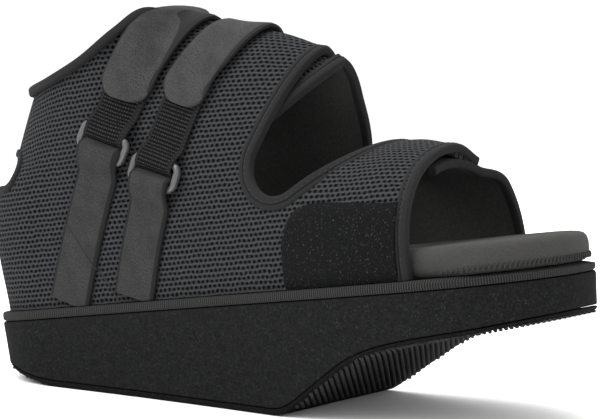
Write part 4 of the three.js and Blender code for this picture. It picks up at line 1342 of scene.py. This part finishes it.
def tab_stitches(bm, row, low_end):
    """Stitches across a lower tab below its fold, and down both of its edges."""
    hem = STRAP_WIDTH / 2 - TAB_HEM
    fold = low_end - 0.125
    level = fold + np.array((-0.01, 0.0, 0.01))
    off = np.linspace(-1, 1, 9) * hem
    offs = off[None, :] + 0 * level[:, None]
    grid = square_rows(NEAR, row, WHOLE_LINE, level, offs, np.ones((3, 1)))[1]
    around = strap_around(NEAR, row, WHOLE_LINE, grid, off)
    laid = lifted(NEAR, around, grid, np.full(9, TAB_LIFT + STRAP_THICK))
    stitch_row(bm, laid, normals(NEAR, around, grid), length=2.0, pitch=2.3, radius=0.3, lift=0.05)
    run = np.linspace(0.03, fold, 60)
    for edge in (-1, 1):
        around = strap_around(NEAR, row, WHOLE_LINE, run, np.full(60, edge * hem))
        laid = lifted(NEAR, around, run, np.full(60, TAB_LIFT + STRAP_THICK))
        stitch_row(bm, laid, normals(NEAR, around, run), length=2.2, pitch=2.4, radius=0.24, lift=-0.02)


def hook_tab(row, high_start, hook, name):
    """A hook tab from its fold over the ring up to the strap's rounded end."""
    high_end = height_share(row, UPPER_LINE, row["end"][1] * HEIGHT + 2)
    t = np.linspace(high_start, high_end, 44)
    over = (0.2 + 0.8 * smooth(high_start, high_start + 0.014, t)) * (
        1 - smooth(high_start + 0.035, high_start + 0.085, t))
    lift = HOOK_LIFT + (RING_LIFT + RING_BAR - HOOK_LIFT + 0.2) * over
    half = np.full(len(t), STRAP_WIDTH / 2 - 1.5)
    bm = grid_mesh(band_points(NEAR, row, WHOLE_LINE, t, half, lift, HOOK_THICK), wrap=True)
    dress(add_object(f"hook_tab_{name}", bm, hook), "hook_tape", f"tab_hook_{name}")


def make_tabs(settings):
    """The lower tabs folded over the rings, and the hook tabs that run up under the strap ends."""
    # The tab velour is a darker copy of the strap velour: painted shade, with painted shade along its edges
    # too.
    velour = velour_cloth("tab_velour", settings.shaded_tab_color, STRAP_WIDTH - 2, 1.5)
    hook = hook_grid("hook_tab_grid", (0.014, 0.014, 0.0143), STRAP_WIDTH - 3)
    thread = thread_material()
    stitches = bmesh.new()
    for name, row in STRAPS.items():
        ring_up = row["ring"][1] * HEIGHT
        reach = RING_DEPTH / 2 * math.cos(row["turn"])
        low_end = height_share(row, WHOLE_LINE, ring_up - reach + RING_BAR + TAB_FOLD)
        lower_tab(row, low_end, velour, name)
        tab_stitches(stitches, row, low_end)
        high_start = height_share(row, WHOLE_LINE, ring_up + reach - RING_BAR - TAB_FOLD)
        hook_tab(row, high_start, hook, name)
    dress(add_object("tab_stitches", stitches, thread), "velour")


def make_rings():
    """The rectangular plastic rings with rounded bars."""
    plastic = ring_plastic()
    for name, row in STRAPS.items():
        along, up = row["ring"][0] * LENGTH, row["ring"][1] * HEIGHT
        around, t = locate(NEAR, along, up, (0.66, 0.5))
        centre = surface(NEAR, around, t)
        out = normals(NEAR, around, t)
        across = np.array((math.cos(row["turn"]), 0, -math.sin(row["turn"])))
        across -= out * across.dot(out)
        across /= np.linalg.norm(across)
        upward = np.cross(out, across)
        radius = RING_BAR * 1.1
        half = (RING_LENGTH / 2 - RING_BAR / 2, RING_DEPTH / 2 - RING_BAR / 2)
        path = []
        for x, y, turn in ((1, 1, 0), (-1, 1, 1), (-1, -1, 2), (1, -1, 3)):
            centre_2d = (x * (half[0] - radius), y * (half[1] - radius))
            path += arc_points(centre_2d, radius, turn * math.pi / 2, (turn + 1) * math.pi / 2, 7)
        path = np.array(path)
        ahead = np.roll(path, -1, 0) - np.roll(path, 1, 0)
        side = np.stack([ahead[:, 1], -ahead[:, 0]], -1)
        side /= np.linalg.norm(side, axis=-1, keepdims=True)
        angles = np.linspace(0, 2 * math.pi, 14, endpoint=False)
        wide = RING_BAR / 2 * np.sign(np.cos(angles)) * np.abs(np.cos(angles)) ** 0.8
        deep = RING_BAR / 2 * np.sign(np.sin(angles)) * np.abs(np.sin(angles)) ** 0.8
        flat = path[:, None] + side[:, None] * wide[None, :, None]
        height = RING_LIFT + RING_BAR / 2 + deep
        points = (centre + flat[..., :1] * across + flat[..., 1:] * upward + height[None, :, None] * out)
        bm = grid_mesh(points, wrap=True, ring=True)
        dress(add_object(f"ring_{name}_plastic", bm, plastic, sharp=60), "ring_plastic", f"ring_{name}")


def make_seams():
    """Thread lines beside the throat and toe bindings, and a diagonal seam across the rear tab."""
    thread = thread_material()
    bm = bmesh.new()
    for side in (NEAR, FAR):
        route = throat_route(side)
        points, outs = even_route(*route_points(route, [side] * len(route)), TAPE_PITCH)
        opening = (THROAT_ALONG + 12, side * 40, THROAT_UP + 10)
        across = inward(points, outs, opening)
        beside = points + across * (BINDING * 0.72)
        stitch_row(bm, beside, outs, length=1.8, pitch=2.6, radius=0.24, lift=0.75)
        t = np.linspace(0.03, 1 + FLAP_OVERLAP, 60)
        toe = np.stack([np.full_like(t, 0.0005), t], -1)
        points, outs = even_route(*route_points(toe, [side] * len(toe)), TAPE_PITCH)
        across = inward(points, outs, AHEAD_OF_TOE)
        beside = points + across * (BINDING * 0.72)
        stitch_row(bm, beside, outs, length=1.8, pitch=2.6, radius=0.24, lift=0.75)
    dress(add_object("binding_stitches", bm, thread), "binding")
    bm = bmesh.new()
    places = []
    guess = (0.80, 0.2)
    seam_along = np.linspace(61, 86, 26)
    seam_up = np.linspace(42, 6, 26)
    for along, up in zip(seam_along, seam_up):
        guess = locate(NEAR, along, up, guess)
        places.append(tuple(guess))
    around, t = np.array(places).T
    middle, _ = strap_middle(STRAPS["rear"], WHOLE_LINE, seam_up)
    on_tab = 1 - smooth(STRAP_WIDTH / 2 - 1.5, STRAP_WIDTH / 2 + 1.5, seam_along - middle)
    laid = lifted(NEAR, around, t, 0.1 + (STRAP_THICK + TAB_LIFT) * on_tab)
    stitch_row(bm, laid, normals(NEAR, around, t), length=2.5, pitch=2.1, radius=0.3)
    dress(add_object("pull_thread", bm, thread), "binding")


def make_stage(settings):
    """The pale floor, the soft lights and the camera at the photograph's angle."""
    bm = bmesh.new()
    bmesh.ops.create_grid(bm, x_segments=1, y_segments=1, size=6)
    paper = Shader("paper_floor", (0.97, 0.97, 0.97), 1.0, Specular_IOR_Level=0.0)
    grain = paper.noise(paper.solid(), 40, 2.0)
    paper.color(paper.tint(grain, (0.965, 0.965, 0.965), (0.975, 0.975, 0.975)))
    floor = add_object("floor", bm, paper.material)
    scene = bpy.context.scene
    world = bpy.data.worlds.new("studio")
    world.use_nodes = True
    back = world.node_tree.nodes["Background"]
    back.inputs[0].default_value = (1, 1, 1, 1)
    back.inputs[1].default_value = settings.world_light
    scene.world = world
    scene.view_settings.view_transform = "Standard"
    for name, place, size, power in LAMPS:
        light = bpy.data.lights.new(name, "AREA")
        light.size = size
        light.energy = power * settings.lamp_share
        lamp = bpy.data.objects.new(name, light)
        lamp.location = place
        lamp.rotation_euler = (Vector(LAMP_AIM) - Vector(place)).to_track_quat("-Z", "Y").to_euler()
        scene.collection.objects.link(lamp)
    lens = bpy.data.cameras.new("camera")
    lens.lens = CAMERA_LENS
    lens.shift_x, lens.shift_y = CAMERA_SHIFT
    camera = bpy.data.objects.new("camera", lens)
    camera.location = CAMERA_PLACE
    aim = Vector(CAMERA_AIM) - camera.location
    camera.rotation_euler = aim.to_track_quat("-Z", "Y").to_euler()
    scene.collection.objects.link(camera)
    scene.camera = camera


class ShoeSettings(bpy.types.PropertyGroup):
    mesh_pitch: bpy.props.FloatProperty(
        name="Mesh pitch", description="Distance between the holes of the upper's mesh",
        default=0.00245, unit="LENGTH")
    mesh_color: bpy.props.FloatVectorProperty(
        name="Mesh colour", description="Thread colour of the upper's mesh",
        default=(0.0195, 0.0201, 0.0212), subtype="COLOR")
    strap_color: bpy.props.FloatVectorProperty(
        name="Strap colour", description="Pile colour of the top straps",
        default=(0.037, 0.0372, 0.037), subtype="COLOR")
    # The lower tabs use a darker copy of the strap velour: painted shade.
    shaded_tab_color: bpy.props.FloatVectorProperty(
        name="Tab colour", description="Pile colour of the lower tabs",
        default=(0.029, 0.0292, 0.029), subtype="COLOR")
    binding_color: bpy.props.FloatVectorProperty(
        name="Binding colour", description="Colour of the edge tapes",
        default=(0.020, 0.0202, 0.0202), subtype="COLOR")
    tape_color: bpy.props.FloatVectorProperty(
        name="Welt colour", description="Colour of the ribbed tape round the footbed",
        default=(0.034, 0.034, 0.0335), subtype="COLOR")
    insole_color: bpy.props.FloatVectorProperty(
        name="Insole colour", description="Colour of the insole's felt",
        default=(0.041, 0.0405, 0.0395), subtype="COLOR")
    sole_color: bpy.props.FloatVectorProperty(
        name="Sole colour", description="Colour of the foam wedge",
        default=(0.0088, 0.0090, 0.0090), subtype="COLOR")
    world_light: bpy.props.FloatProperty(
        name="Surround light", description="Strength of the light from all round", default=1.06)
    lamp_share: bpy.props.FloatProperty(
        name="Lamp strength", description="Share of full power of the studio lamps", default=1.0)


class SHOE_OT_stage(bpy.types.Operator):
    """Lay the floor, hang the lights and set the camera"""

    bl_idname = "shoe.stage"
    bl_label = "Stage"
    bl_options = {"REGISTER", "UNDO"}

    def execute(self, context):
        make_stage(context.scene.wedge_shoe)
        return {"FINISHED"}


class SHOE_OT_outsole(bpy.types.Operator):
    """Build the outsole and its slanted tread"""

    bl_idname = "shoe.outsole"
    bl_label = "Outsole"
    bl_options = {"REGISTER", "UNDO"}

    def execute(self, context):
        make_outsole()
        return {"FINISHED"}


class SHOE_OT_midsole(bpy.types.Operator):
    """Build the speckled foam wedge"""

    bl_idname = "shoe.midsole"
    bl_label = "Midsole"
    bl_options = {"REGISTER", "UNDO"}

    def execute(self, context):
        make_midsole(context.scene.wedge_shoe)
        return {"FINISHED"}


class SHOE_OT_welt(bpy.types.Operator):
    """Build the ribbed tape round the footbed"""

    bl_idname = "shoe.welt"
    bl_label = "Welt"
    bl_options = {"REGISTER", "UNDO"}

    def execute(self, context):
        make_welt(context.scene.wedge_shoe)
        return {"FINISHED"}


class SHOE_OT_insole(bpy.types.Operator):
    """Build the felt pad and its overlock stitches"""

    bl_idname = "shoe.insole"
    bl_label = "Insole"
    bl_options = {"REGISTER", "UNDO"}

    def execute(self, context):
        make_insole(context.scene.wedge_shoe)
        return {"FINISHED"}


class SHOE_OT_upper(bpy.types.Operator):
    """Build the mesh upper with its lining"""

    bl_idname = "shoe.upper"
    bl_label = "Upper"
    bl_options = {"REGISTER", "UNDO"}

    def execute(self, context):
        make_upper(context.scene.wedge_shoe)
        return {"FINISHED"}


class SHOE_OT_bindings(bpy.types.Operator):
    """Build the tapes on the upper's edges"""

    bl_idname = "shoe.bindings"
    bl_label = "Bindings"
    bl_options = {"REGISTER", "UNDO"}

    def execute(self, context):
        make_bindings(context.scene.wedge_shoe)
        return {"FINISHED"}


class SHOE_OT_hook_patch(bpy.types.Operator):
    """Build the hook patch of the toe flap"""

    bl_idname = "shoe.hook_patch"
    bl_label = "Hook patch"
    bl_options = {"REGISTER", "UNDO"}

    def execute(self, context):
        make_hook_patch()
        return {"FINISHED"}


class SHOE_OT_tabs(bpy.types.Operator):
    """Build the tabs below and above the rings"""

    bl_idname = "shoe.tabs"
    bl_label = "Tabs"
    bl_options = {"REGISTER", "UNDO"}

    def execute(self, context):
        make_tabs(context.scene.wedge_shoe)
        return {"FINISHED"}


class SHOE_OT_straps(bpy.types.Operator):
    """Build the two top straps"""

    bl_idname = "shoe.straps"
    bl_label = "Straps"
    bl_options = {"REGISTER", "UNDO"}

    def execute(self, context):
        make_straps(context.scene.wedge_shoe)
        return {"FINISHED"}


class SHOE_OT_rings(bpy.types.Operator):
    """Build the two plastic rings"""

    bl_idname = "shoe.rings"
    bl_label = "Rings"
    bl_options = {"REGISTER", "UNDO"}

    def execute(self, context):
        make_rings()
        return {"FINISHED"}


class SHOE_OT_seams(bpy.types.Operator):
    """Lay the thread lines on the bindings"""

    bl_idname = "shoe.seams"
    bl_label = "Seams"
    bl_options = {"REGISTER", "UNDO"}

    def execute(self, context):
        make_seams()
        return {"FINISHED"}


PIECES = (
    SHOE_OT_stage, SHOE_OT_outsole, SHOE_OT_midsole, SHOE_OT_welt, SHOE_OT_insole, SHOE_OT_upper,
    SHOE_OT_bindings, SHOE_OT_hook_patch, SHOE_OT_tabs, SHOE_OT_straps, SHOE_OT_rings, SHOE_OT_seams,
)


class SHOE_PT_panel(bpy.types.Panel):
    """Lists the pieces of the shoe and their settings"""

    bl_label = "Wedge shoe"
    bl_idname = "SHOE_PT_panel"
    bl_space_type = "VIEW_3D"
    bl_region_type = "UI"
    bl_category = "Wedge shoe"

    def draw(self, context):
        for key in ShoeSettings.__annotations__:
            self.layout.prop(context.scene.wedge_shoe, key)
        for piece in PIECES:
            self.layout.operator(piece.bl_idname)


CLASSES = (ShoeSettings, *PIECES, SHOE_PT_panel)


def register():
    """Registers the classes and gives each scene its settings."""
    for item in CLASSES:
        bpy.utils.register_class(item)
    bpy.types.Scene.wedge_shoe = bpy.props.PointerProperty(type=ShoeSettings)


def unregister():
    """Takes the settings and the classes out again."""
    del bpy.types.Scene.wedge_shoe
    for item in reversed(CLASSES):
        bpy.utils.unregister_class(item)


def main():
    """Builds every piece in order."""
    register()
    for piece in PIECES:
        group, name = piece.bl_idname.split(".")
        getattr(getattr(bpy.ops, group), name)()


if __name__ == "__main__":
    main()
